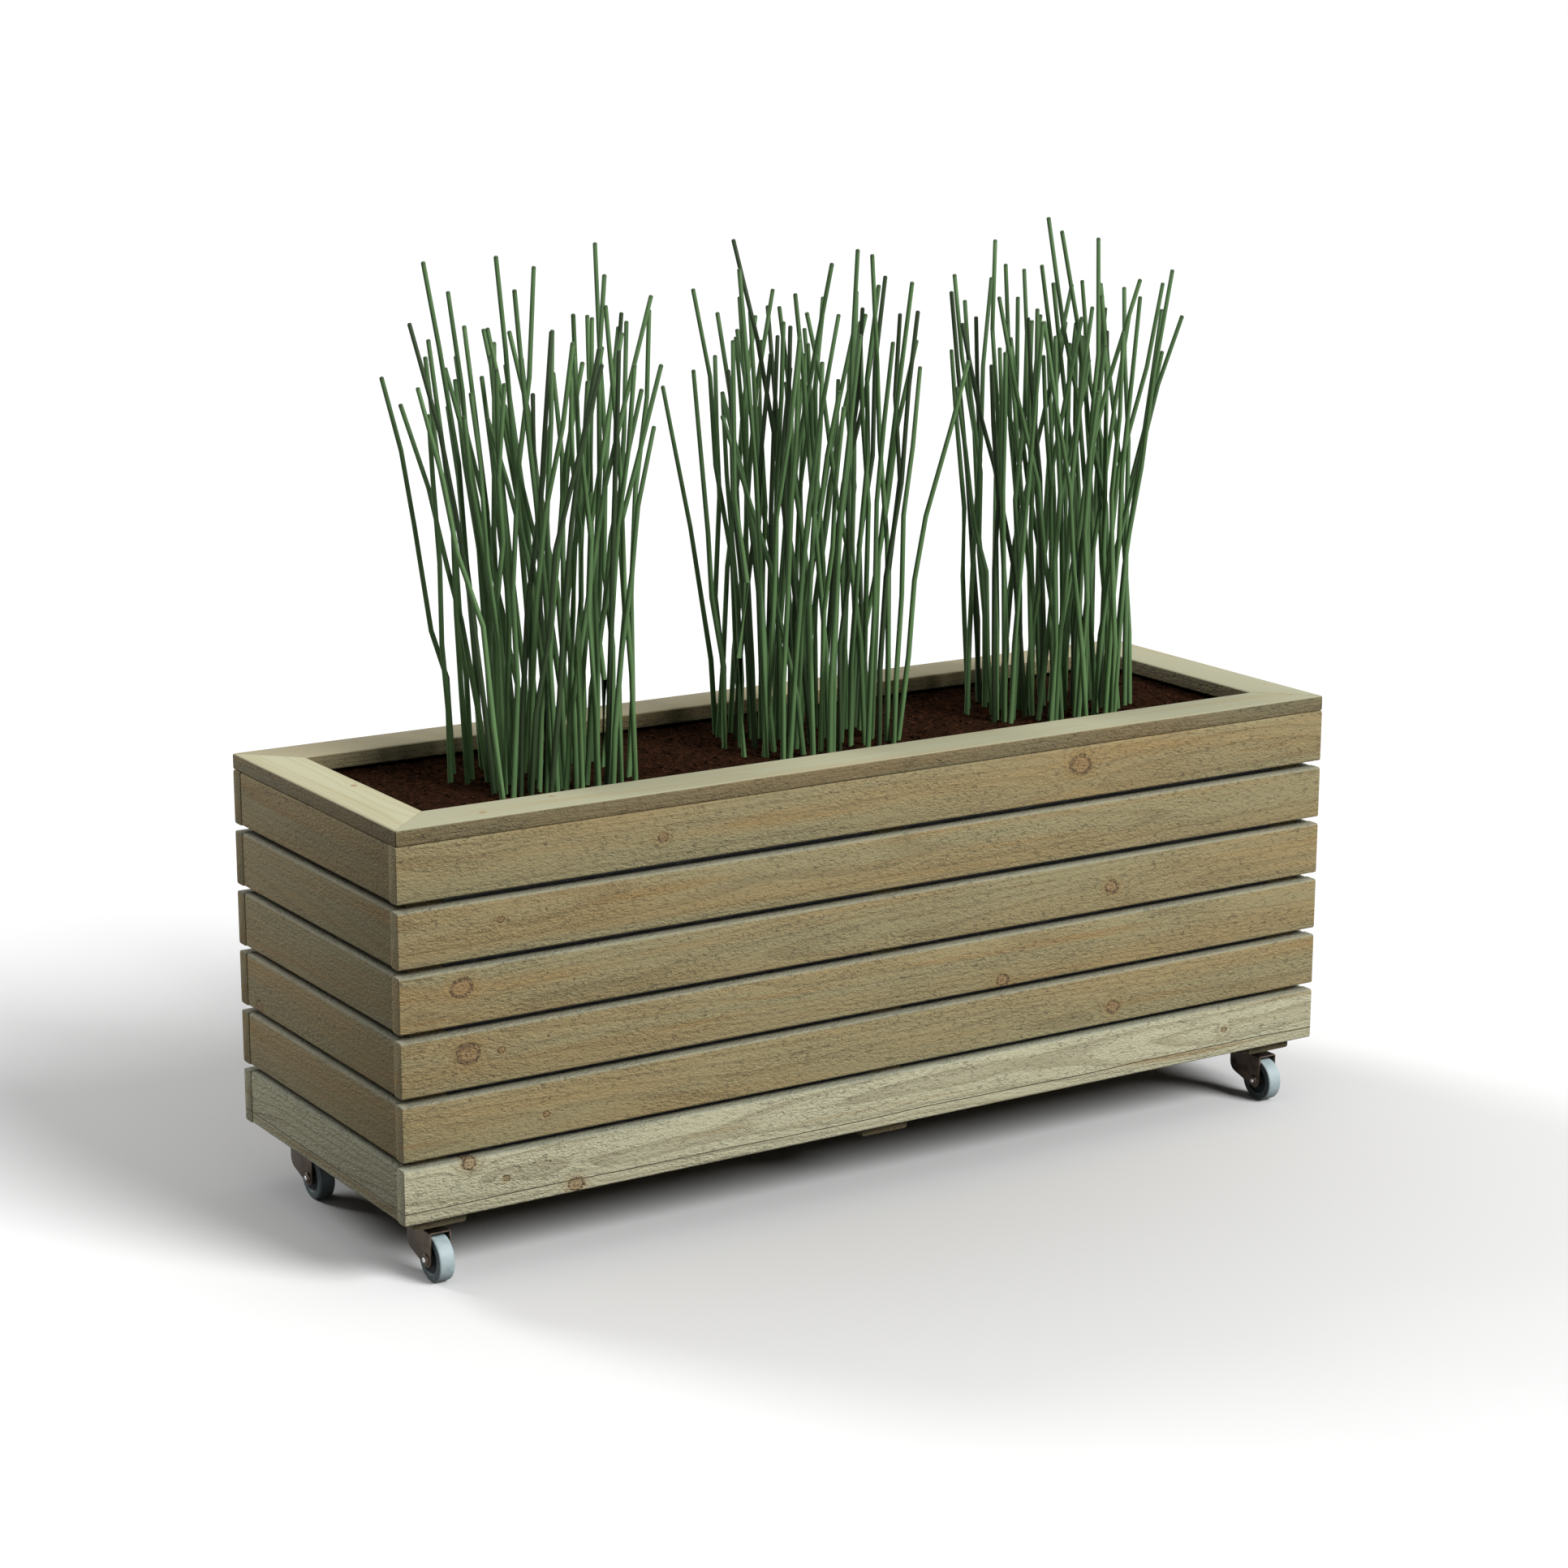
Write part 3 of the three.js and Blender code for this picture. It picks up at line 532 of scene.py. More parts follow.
# The level above which a slat's top edge gets its painted highlight.
PAINTED_HIGHLIGHT_LEVEL = 27.4 * MM
for side in ("front", "back", "left", "right"):
    for row in range(1, ROWS + 1):
        node = f"{side}_slat_{row}"
        low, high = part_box(node)
        along = 0 if side in ("front", "back") else 1
        turn = ALONG_Y if along == 1 else (0, 0, 0)
        knots = knots_on(side, row, low, high)
        seed = row * 10 + "front back left right".split().index(side)
        lowest = row == ROWS
        grain = timber(f"rough_sawn_softwood_{node}", (low + high) / 2, turn, seed, knots,
                       bold=0.4 if lowest else 0.35, washed=1.0 if lowest else 0.0,
                       split=DRYING_CRACK if lowest else None,
                       painted_highlight_edge=PAINTED_HIGHLIGHT_LEVEL if row > 1 else None)
        piece(node.replace("slat", "board"), board(low, high, along, LONG_EDGE_RADIUS), [grain],
              "trough", [node])
print("slats:", 4 * ROWS)

# %% [markdown]
# ## The cap
#
# Four flat boards lie on the top row and meet in mitres, 45 degree joints that hide the end grain.
# Each starts as a plain board, and two cuts along the mitre lines take its corners off. The top was
# planed, so it is smooth and pale, while the edges were left as the saw made them. The sawn faces
# are painted darker, as painted shade, since the inner ones lie in shade.

# %% Cap: shape
CAP_EDGE_RADIUS = 2.5 * MM
MITRE_GAP = 0.3 * MM


def mitre(bm, low, high, along):
    """Cuts both ends of a cap board at 45 degrees, long on the side away from the planter's middle."""
    outer_side = 1 - along
    centre = (low + high) / 2
    outwards = math.copysign(1, centre[outer_side])
    outer = high[outer_side] if outwards > 0 else low[outer_side]
    for end, level in ((-1, low[along]), (1, high[along])):
        point = centre.copy()
        point[along] = level - end * MITRE_GAP
        point[outer_side] = outer
        normal = Vector((0, 0, 0))
        normal[along] = end
        normal[outer_side] = -outwards
        everything = bm.verts[:] + bm.edges[:] + bm.faces[:]
        cut = bmesh.ops.bisect_plane(bm, geom=everything, plane_co=point, plane_no=normal,
                                     clear_outer=True)
        rim = [e for e in cut["geom_cut"] if isinstance(e, bmesh.types.BMEdge)]
        bmesh.ops.edgeloop_fill(bm, edges=rim)


# %% Cap: four boards
PLANED_FROM = 8.6 * MM
CAP_TONES = {"front": PLANED, "right": PLANED, "back": PLANED_TAN, "left": PLANED_PALE}
CAP_TURNS = {0: (math.radians(90), 0, 0), 1: (math.radians(90), 0, math.radians(90))}
CAP_KNOTS = {"front": [((595, 1001), 5), ((680, 981), 4), ((1007, 960), 7)],
             "right": [((1558, 843), 2.5)], "back": [((640, 898), 6)], "left": [((436, 968), 5)]}
for number, side in enumerate(("front", "back", "left", "right")):
    node = "cap_" + side
    low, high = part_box(node)
    along = 0 if side in ("front", "back") else 1
    centre = (low + high) / 2
    seen = [(through_pixel(p, 2, high.z) - centre, r * MM) for p, r in CAP_KNOTS[side]]
    # A cap board's own Z runs across it, towards the front on the long boards and the left on the
    # short ones.
    knots = [(s.x, -s.y, r) if along == 0 else (s.y, s.x, r) for s, r in seen]
    # Painted shade: the cap's sawn faces are darkened, as its inner faces lie in shade.
    grain = timber(f"planed_softwood_{node}", centre, CAP_TURNS[along], 80 + number, knots,
                   streaks=0.3, planed=PLANED_FROM, shade=0.6, planed_tone=CAP_TONES[side])
    bm = board(low, high, along, CAP_EDGE_RADIUS)
    mitre(bm, low, high, along)
    piece(node + "_board", bm, [grain], "trough", [node])
print("cap boards:", 4)

# %% [markdown]
# ## The frame inside
#
# Three bearers cross the underside, posts stand in the corners and the floor is plywood. Little of
# them shows: the bearers peep out under the front, and the rest is dark in the gaps. The bearers
# get the same rounded boards as the slats. The square posts, battens and floor are right as they
# are, so their own solids only get a finish. All of them are painted darker, as painted shade, for
# they lie in the shade under and inside the box.

# %% Bearers, posts, battens and floor
for number, name in enumerate(("left", "middle", "right")):
    node = "bearer_" + name
    low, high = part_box(node)
    turn = (math.radians(90), 0, math.radians(90))
    # Painted shade: the bearers are darkened, as they sit back in the shade of the slats.
    grain = timber(f"sawn_softwood_{node}", (low + high) / 2, turn, 90 + number, shade=0.5)
    piece(node + "_board", board(low, high, 1, LONG_EDGE_RADIUS), [grain], "trough",
          [node])

UPRIGHT = (0, math.radians(90), 0)
posts = [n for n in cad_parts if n.endswith(("_post", "_batten"))]
for number, node in enumerate(sorted(posts)):
    low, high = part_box(node)
    # Painted shade: posts and battens, and the floor below, are darkened, as they lie in the shade
    # inside the box.
    grain = timber(f"sawn_softwood_{node}", (low + high) / 2, UPRIGHT, 100 + number, shade=0.8)
    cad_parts[node].data.materials.clear()
    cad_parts[node].data.materials.append(grain)
low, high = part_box("floor_panel")
panel_turn = (math.radians(90), 0, 0)
panel_grain = timber("floor_plywood", (low + high) / 2, panel_turn, 120, bold=0.6, shade=0.8)
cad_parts["floor_panel"].data.materials.clear()
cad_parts["floor_panel"].data.materials.append(panel_grain)
print("posts and battens:", len(posts))

# %% [markdown]
# ## Liner and soil
#
# A black polythene liner keeps the soil off the timber. It shows only as the dark behind the gaps,
# faintly creased. The soil is a coarse peaty compost, nearly black, with red-brown bark and a few
# pale fibres. Its lumps are wide enough to see, so they are real: the surface is a grid pushed up
# and down by noise, with crumbs scattered on it. Only the grit on the lumps is left to the finish.

# %% Liner
liner_material, tree, shader = new_material("black_polythene", Roughness=0.42, IOR=1.51)
shader.inputs["Base Color"].default_value = colour("#141516")
coordinates = add(tree, "TexCoord").outputs["Object"]
creases = stretched(tree, coordinates, (30 * MM, 30 * MM, 30 * MM), 3.0, 0.6, 1.5)
emboss(tree, shader, creases, 2 * MM, 0.8)
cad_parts["liner"].data.materials.clear()
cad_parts["liner"].data.materials.append(liner_material)

# %% Soil: finish
GRIT = 2.4 * MM
soil_material, tree, shader = new_material("peaty_compost", Roughness=0.95)
shader.inputs["Specular IOR Level"].default_value = 0
coordinates = add(tree, "TexCoord").outputs["Object"]
lumps = stretched(tree, coordinates, (3 * GRIT, 3 * GRIT, 3 * GRIT), 3.0, 0.65)
grit = stretched(tree, coordinates, (1.6 * GRIT, GRIT, GRIT), 2.0, 0.7, 0.5)
bark = stretched(tree, coordinates, (2.2 * GRIT, GRIT, GRIT), 1.0, 0.5, 0.8, 4.0)
surface = tint(tree, fade(tree, lumps, 0.35, 0.65), colour("#1a110b"), colour("#2b1b12"))
surface = tint(tree, fade(tree, bark, 0.56, 0.68), surface, colour("#45291a"))
surface = tint(tree, fade(tree, grit, 0.68, 0.76, 0.0, 0.7), surface, colour("#6b4524"))
tree.links.new(surface, shader.inputs["Base Color"])
emboss(tree, shader, grit, 2 * MM)

# %% Soil: shape
SOIL_CELL = 6 * MM
LUMP_HEIGHT = 5 * MM
CRUMBS = 1500
CRUMB_AREA = (0.535, 0.135)


def soil_level(x, y, top):
    """The height of the soil at a place: low swells, lumps, and a dip along the walls."""
    swell = noise.noise(Vector((x, y, 0)) * 9) * 0.3
    lump = noise.fractal(Vector((x, y, 1)) * 70, 0.7, 2.0, 3) * 0.7
    return top - 2.5 * MM + LUMP_HEIGHT * max(-0.9, min(0.9, swell + lump))


low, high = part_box("soil")
inset = Vector((1, 1, 0)) * 0.5 * MM
low, high = low + inset, high - inset
counts = [round((high - low)[i] / SOIL_CELL) for i in (0, 1)]
bm = bmesh.new()
bmesh.ops.create_grid(bm, x_segments=counts[0], y_segments=counts[1], size=0.5)
bmesh.ops.scale(bm, vec=(high.x - low.x, high.y - low.y, 1), verts=bm.verts)
edge = [e for e in bm.edges if e.is_boundary]
skirt = bmesh.ops.extrude_edge_only(bm, edges=edge)["geom"]
skirt_verts = [v for v in skirt if isinstance(v, bmesh.types.BMVert)]
skirt_edges = [e for e in skirt if isinstance(e, bmesh.types.BMEdge)]
for vert in bm.verts:
    vert.co.z = soil_level(vert.co.x, vert.co.y, high.z)
for vert in skirt_verts:
    vert.co.z = low.z
bmesh.ops.edgeloop_fill(bm, edges=skirt_edges)
bmesh.ops.recalc_face_normals(bm, faces=bm.faces)

# %% [markdown]
# The crumbs are one rough lump, copied with chance turns and sizes. A copy is added to the soil as a
# finished mesh, which takes far less time than drawing each one in the large mesh.

# %% Soil: crumbs
crumb_bm = bmesh.new()
bmesh.ops.create_icosphere(crumb_bm, subdivisions=1, radius=1)
luck = random.Random(23)
for vert in crumb_bm.verts:
    vert.co *= luck.uniform(0.75, 1.2)
crumb = bpy.data.meshes.new("crumb")
crumb_bm.to_mesh(crumb)
crumb_bm.free()
for _ in range(CRUMBS):
    x, y = (luck.uniform(-reach, reach) for reach in CRUMB_AREA)
    size = luck.uniform(0.8, 2.6) * MM
    spot = Vector((x, y, soil_level(x, y, high.z) + 0.3 * size))
    spread = Vector((size * luck.uniform(0.7, 1.9), size, size * luck.uniform(0.5, 0.9)))
    copy = crumb.copy()
    copy.transform(Matrix.LocRotScale(spot, Matrix.Rotation(luck.uniform(0, 6.3), 3, "Z"), spread))
    bm.from_mesh(copy)
    bpy.data.meshes.remove(copy)
print("soil faces:", len(bm.faces))
piece("potting_soil", bm, [soil_material], "trough", ["soil"], smooth_below=60)

# %% [markdown]
# ## Rush
#
# Each clump is 64 leafless stems, nearly as thick as a pencil, that rise from a round patch and splay as
# they go up. A stem isn't a curve but a few straight runs with faint kinks between them, where it
# was bent by wind and its neighbours. The solids have the same stems with five sides, and their
# tips stand where the picture shows them. So the line of each stem is read off its solid, and drawn
# again with eight sides, a blunt round tip and a tone of its own.

# %% Rush: finish
RUSH_DARK = "#293620"
RUSH_GREEN = "#537147"
RUSH_LIGHT = "#608151"
rush_material, tree, shader = new_material("waxy_rush_stem", Roughness=0.6, IOR=1.4)
shader.inputs["Specular IOR Level"].default_value = 0.3
tone = add(tree, "Attribute", attribute_name="tone").outputs["Fac"]
from_tip = add(tree, "Attribute", attribute_name="from_tip").outputs["Fac"]
coordinates = add(tree, "TexCoord").outputs["Object"]
ribs = stretched(tree, coordinates, (1.6 * MM, 1.6 * MM, 90 * MM), 1.0, 0.5)
cloud = stretched(tree, coordinates, (25 * MM, 25 * MM, 70 * MM), 2.0, 0.5)
deep = tint(tree, fade(tree, tone, 0.0, 0.45), colour(RUSH_DARK), colour(RUSH_GREEN))
surface = tint(tree, fade(tree, tone, 0.45, 1.0), deep, colour(RUSH_LIGHT))
surface = tint(tree, fade(tree, cloud, 0.35, 0.65, 0.0, 0.18), surface, colour(RUSH_DARK))
surface = tint(tree, fade(tree, ribs, 0.4, 0.6, 0.12, 0.0), surface, colour(RUSH_DARK))
surface = tint(tree, fade(tree, from_tip, 0.005, 0.001, 0.0, 0.55), surface, colour(RUSH_DARK))
tree.links.new(surface, shader.inputs["Base Color"])
emboss(tree, shader, ribs, 0.4 * MM, 0.5)

# %% Rush: the lines of the stems
soil_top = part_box("soil")[1].z
SOIL_PLANE = soil_top + 0.05 * MM


def island_from(start, left):
    """All vertices joined to one by edges. They are taken out of the set that is left."""
    island, front = [], [start]
    left.discard(start)
    while front:
        vert = front.pop()
        island.append(vert)
        for edge in vert.link_edges:
            other = edge.other_vert(vert)
            if other in left:
                left.discard(other)
                front.append(other)
    return island


def stem_lines(node):
    """The centre line of every stem of a clump from the soil to its tip, read off its solid: each
    stem is a tower of level rings, and the middle of a ring is a point of the line."""
    bm = bmesh.new()
    bm.from_mesh(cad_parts[node].data)
    bmesh.ops.transform(bm, matrix=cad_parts[node].matrix_world, verts=bm.verts)
    bmesh.ops.remove_doubles(bm, verts=bm.verts, dist=0.01 * MM)
    in_soil = [f for f in bm.faces if all(v.co.z < SOIL_PLANE for v in f.verts)]
    bmesh.ops.delete(bm, geom=in_soil, context="FACES")
    left = set(bm.verts)
    lines = []
    while left:
        rings = {}
        for vert in island_from(next(iter(left)), left):
            rings.setdefault(round(vert.co.z / MM, 1), []).append(vert.co.copy())
        lines.append([sum(rings[z], Vector()) / len(rings[z]) for z in sorted(rings)])
    bm.free()
    return sorted(lines, key=lambda line: tuple(line[0]))


# %% Rush: one stem
STEM_FOOT_RADIUS = 3.2 * MM
STEM_TIP_RADIUS = 2.5 * MM
STEM_SIDES = 8
FOOT_DEPTH = 6 * MM
ROUND_TIP = ((1.6 * MM, 1.0), (0.5 * MM, 0.8), (0, 0.35))


def ring_frame(point, direction, radius):
    """A matrix that puts a ring of radius 1 at a point, square to a direction."""
    turn = direction.to_track_quat("Z", "Y").to_matrix().to_4x4()
    return Matrix.Translation(point) @ turn @ Matrix.Diagonal((radius, radius, 1, 1))


def stem(line, tone_value):
    """A bmesh of a round stem along a line of points, closed with a blunt tip."""
    bm = bmesh.new()
    tone_layer = bm.verts.layers.float.new("tone")
    tip_layer = bm.verts.layers.float.new("from_tip")
    last_run = (line[-1] - line[-2]).normalized()
    rings = [(point, 1.0) for point in line[:-1]]
    rings += [(line[-1] - last_run * below_tip, share) for below_tip, share in ROUND_TIP]
    length = (line[-1] - line[0]).length
    before_frame = None
    for number, (point, share) in enumerate(rings):
        after = rings[min(number + 1, len(rings) - 1)][0]
        before = rings[max(number - 1, 0)][0]
        up = (point - line[0]).length / length
        radius = share * (STEM_FOOT_RADIUS + (STEM_TIP_RADIUS - STEM_FOOT_RADIUS) * up)
        here = ring_frame(point, (after - before).normalized(), radius)
        if number == 0:
            verts = bmesh.ops.create_circle(bm, segments=STEM_SIDES, radius=1, cap_ends=True)["verts"]
            edges = bm.edges[:]
            bmesh.ops.transform(bm, matrix=here, verts=verts)
        else:
            grown = bmesh.ops.extrude_edge_only(bm, edges=edges)["geom"]
            verts = [v for v in grown if isinstance(v, bmesh.types.BMVert)]
            edges = [e for e in grown if isinstance(e, bmesh.types.BMEdge)]
            edges = [e for e in edges if all(v in verts for v in e.verts)]
            bmesh.ops.transform(bm, matrix=here @ before_frame.inverted(), verts=verts)
        for vert in verts:
            vert[tone_layer] = tone_value
            vert[tip_layer] = (line[-1] - point).length
        before_frame = here
    bmesh.ops.edgeloop_fill(bm, edges=edges)
    bmesh.ops.recalc_face_normals(bm, faces=bm.faces)
    return bm


# %% Rush: three clumps
TONES = (0.1, 0.5, 0.6, 0.65, 0.7, 0.75, 0.8, 0.9, 1.0)


def gather(whole, part):
    """Adds a finished bmesh to a larger one."""
    scrap = bpy.data.meshes.new("scrap")
    part.to_mesh(scrap)
    part.free()
    whole.from_mesh(scrap)
    bpy.data.meshes.remove(scrap)


for number, side in enumerate(("left", "middle", "right")):
    luck = random.Random(40 + number)
    lines = stem_lines("rush_" + side)
    bm = bmesh.new()
    for line in lines:
        first_run = (line[1] - line[0]).normalized()
        gather(bm, stem([line[0] - first_run * FOOT_DEPTH] + line[1:], luck.choice(TONES)))
    print(side, "clump:", len(lines), "stems,", len(bm.faces), "faces")
    piece(f"rush_clump_{side}", bm, [rush_material], "trough", ["rush_" + side],
          smooth_below=70)

# %% [markdown]
# ## Castors
#
# Each castor is a top plate with a bearing race, a fork pressed from 2 mm steel, a wheel and a bolt
# through both. Pressed parts have rounded outlines, so a cheek is a face whose corners are bevelled
# as a draughtsman would round them, then thickened. The wheel, race and bolt are turned: a section
# is spun round its axis. All four castors hang the same way, with the wheel trailing to the front,
# so one function builds them and the solids say where each one goes.

# %% Castors: finishes
steel_material, tree, shader = new_material("dark_plated_steel", Metallic=0.9, Roughness=0.42)
coordinates = add(tree, "TexCoord").outputs["Object"]
tarnish = stretched(tree, coordinates, (9 * MM, 9 * MM, 9 * MM), 3.0, 0.6)
scratches = stretched(tree, coordinates, (0.5 * MM, 0.5 * MM, 12 * MM), 2.0, 0.5)
plating = tint(tree, fade(tree, tarnish, 0.35, 0.65), colour("#4a4139"), colour("#5d5147"))
tree.links.new(plating, shader.inputs["Base Color"])
tree.links.new(fade(tree, tarnish, 0.3, 0.7, 0.34, 0.52), shader.inputs["Roughness"])
emboss(tree, shader, scratches, 0.1 * MM, 0.15)

bolt_material, tree, shader = new_material("bright_plated_bolt", Metallic=1.0)
coordinates = add(tree, "TexCoord").outputs["Object"]
smears = stretched(tree, coordinates, (2 * MM, 2 * MM, 2 * MM), 3.0, 0.6)
shader.inputs["Base Color"].default_value = colour("#c9cacd")
tree.links.new(fade(tree, smears, 0.3, 0.7, 0.12, 0.3), shader.inputs["Roughness"])

rubber_material, tree, shader = new_material("grey_rubber_tread", IOR=1.52)
coordinates = add(tree, "TexCoord").outputs["Object"]
bloom = stretched(tree, coordinates, (6 * MM, 6 * MM, 6 * MM), 4.0, 0.6)
specks = stretched(tree, coordinates, (0.6 * MM, 0.6 * MM, 0.6 * MM), 1.0, 0.5)
rubber = tint(tree, fade(tree, bloom, 0.3, 0.7), colour("#96a7aa"), colour("#a5b4b6"))
tree.links.new(rubber, shader.inputs["Base Color"])
tree.links.new(fade(tree, bloom, 0.3, 0.7, 0.5, 0.66), shader.inputs["Roughness"])
emboss(tree, shader, specks, 0.05 * MM, 0.3)

# Painted shade: the tyre's flat sides are the tread's rubber painted darker, as they lie in shade.
sidewall_painted_shade_material, tree, shader = new_material("slate_rubber_sidewall", IOR=1.52, Roughness=0.62)
shader.inputs["Specular IOR Level"].default_value = 0.3
coordinates = add(tree, "TexCoord").outputs["Object"]
bloom = stretched(tree, coordinates, (6 * MM, 6 * MM, 6 * MM), 4.0, 0.6)
rubber = tint(tree, fade(tree, bloom, 0.3, 0.7), colour("#5a6769"), colour("#6b7779"))
tree.links.new(rubber, shader.inputs["Base Color"])

core_material, tree, shader = new_material("dark_grey_wheel_core", IOR=1.5)
shader.inputs["Specular IOR Level"].default_value = 0.2
coordinates = add(tree, "TexCoord").outputs["Object"]
moulding = stretched(tree, coordinates, (0.8 * MM, 0.8 * MM, 0.8 * MM), 2.0, 0.6)
shader.inputs["Base Color"].default_value = colour("#24292b")
tree.links.new(fade(tree, moulding, 0.3, 0.7, 0.55, 0.7), shader.inputs["Roughness"])
emboss(tree, shader, moulding, 0.05 * MM, 0.3)


# %% Castors: turned shapes
TURN_STEPS = 48


def turned(section, centre, steps=TURN_STEPS):
    """A shape turned round an axis along X. A corner of the section is its level along the axis, its
    radius and, where it is rounded, the size of the round. Corners on the axis close the shape."""
    bm = bmesh.new()
    corners = [bm.verts.new((level, 0, radius)) for level, radius, _ in section]
    face = bm.faces.new(corners)
    for vert, (_, _, size) in zip(corners, section):
        if size:
            bmesh.ops.bevel(bm, geom=[vert], offset=size, offset_type="OFFSET", segments=4,
                            profile=0.5, affect="VERTICES", material=-1)
    bmesh.ops.delete(bm, geom=bm.faces[:], context="FACES_ONLY")
    on_axis = [e for e in bm.edges if all(v.co.z < 1e-7 for v in e.verts)]
    bmesh.ops.delete(bm, geom=on_axis, context="EDGES")
    bmesh.ops.spin(bm, geom=bm.verts[:] + bm.edges[:], cent=(0, 0, 0), axis=(1, 0, 0),
                   angle=2 * math.pi, steps=steps, use_merge=True)
    bmesh.ops.remove_doubles(bm, verts=bm.verts, dist=0.001 * MM)
    bmesh.ops.recalc_face_normals(bm, faces=bm.faces)
    bmesh.ops.translate(bm, vec=centre, verts=bm.verts)
    return bm


def upright(bm, centre):
    """Turns a shape from the X axis onto the Z axis, about its centre."""
    bmesh.ops.rotate(bm, cent=centre, matrix=Matrix.Rotation(math.radians(-90), 3, "Y"), verts=bm.verts)
    return bm


def mirrored(section):
    """The other half of a section that is the same on both sides."""
    return section + [(-level, radius, size) for level, radius, size in reversed(section)]


# %% Castors: pressed steel
SHEET = 2 * MM
BURR = 0.3 * MM


def soften(bm, size, segments=2):
    """Breaks the sharp edges of a finished plate, as tumbling does."""
    sharp = [e for e in bm.edges if e.is_manifold and e.calc_face_angle() > math.radians(50)]
    bmesh.ops.bevel(bm, geom=sharp, offset=size, offset_type="OFFSET", segments=segments, profile=0.5,
                    affect="EDGES", material=-1)


def cheek(inner_x, outer_x, corners):
    """One side of the fork: corners are (y, z, size of the round)."""
    bm = bmesh.new()
    verts = [bm.verts.new((inner_x, y, z)) for y, z, _ in corners]
    bm.faces.new(verts)
    for vert, (_, _, size) in zip(verts, corners):
        if size:
            bmesh.ops.bevel(bm, geom=[vert], offset=size, offset_type="OFFSET", segments=8,
                            profile=0.5, affect="VERTICES", material=-1)
    grown = bmesh.ops.extrude_face_region(bm, geom=bm.faces[:])["geom"]
    moved = [v for v in grown if isinstance(v, bmesh.types.BMVert)]
    bmesh.ops.translate(bm, vec=(outer_x - inner_x, 0, 0), verts=moved)
    bmesh.ops.recalc_face_normals(bm, faces=bm.faces)
    soften(bm, BURR)
    return bm


def sheet(low, high, corner_radius, edge_axis):
    """A flat sheet that fills a box. Its four corners round Z are rounded, or the two upper ones
    round Y, as where a strap is folded down."""
    bm = bmesh.new()
    bmesh.ops.create_cube(bm, size=1)
    bmesh.ops.scale(bm, vec=high - low, verts=bm.verts)
    bmesh.ops.translate(bm, vec=(low + high) / 2, verts=bm.verts)
    edges = [e for e in bm.edges if abs((e.verts[0].co - e.verts[1].co)[edge_axis]) > 1e-6]
    if edge_axis == 1:
        edges = [e for e in edges if e.verts[0].co.z > high.z - 1e-6]
    bmesh.ops.bevel(bm, geom=edges, offset=corner_radius, offset_type="OFFSET", segments=6,
                    profile=0.5, affect="EDGES", material=-1)
    soften(bm, BURR)
    return bm


# %% Castors: sizes
RACE_RADIUS = 17 * MM
CROWN = (56 * MM - SHEET, 56 * MM)
PLATE = (62 * MM - SHEET, 62 * MM)
CHEEK_X = (10.5 * MM, 10.5 * MM + SHEET)
SCREW_REACH = 20 * MM
TIP_RADIUS = 9 * MM
REAR_LEVEL, REAR_ROUND = 38 * MM, 12 * MM


def fork_corners(axle_y, axle_z, tip, rear_y, rear_z, rear_round):
    """The corners of a cheek before they are rounded: a straight front edge, a round tip under the
    axle, and a slanted rear edge that touches the rounds at the tip and at the back."""
    front, bottom, back = axle_y - tip, axle_z - tip, rear_y
    corner = Vector((back - rear_round, rear_z))
    apart = corner - Vector((axle_y, axle_z))
    angle = math.atan2(apart.y, apart.x) - math.asin((rear_round - tip) / apart.length)
    along = Vector((math.cos(angle), math.sin(angle)))
    touch = Vector((axle_y, axle_z)) + Vector((along.y, -along.x)) * tip
    low_end = touch + along * ((bottom - touch.y) / along.y)
    high_end = touch + along * ((back - touch.x) / along.x)

    def setback(turn_degrees, radius):
        return radius * math.tan(math.radians(turn_degrees) / 2)

    slant = math.degrees(angle)
    return [(front, CROWN[0] + 0.2 * MM, 0), (front, bottom, setback(90, tip)),
            (low_end.x, bottom, setback(slant, tip) * 0.95),
            (back, high_end.y, setback(90 - slant, rear_round)),
            (back, CROWN[0] + 0.2 * MM, 0)]


# %% Castors: all four
def joined(*parts):
    """Several finished shapes as one piece."""
    whole = bmesh.new()
    for part in parts:
        gather(whole, part)
    return whole


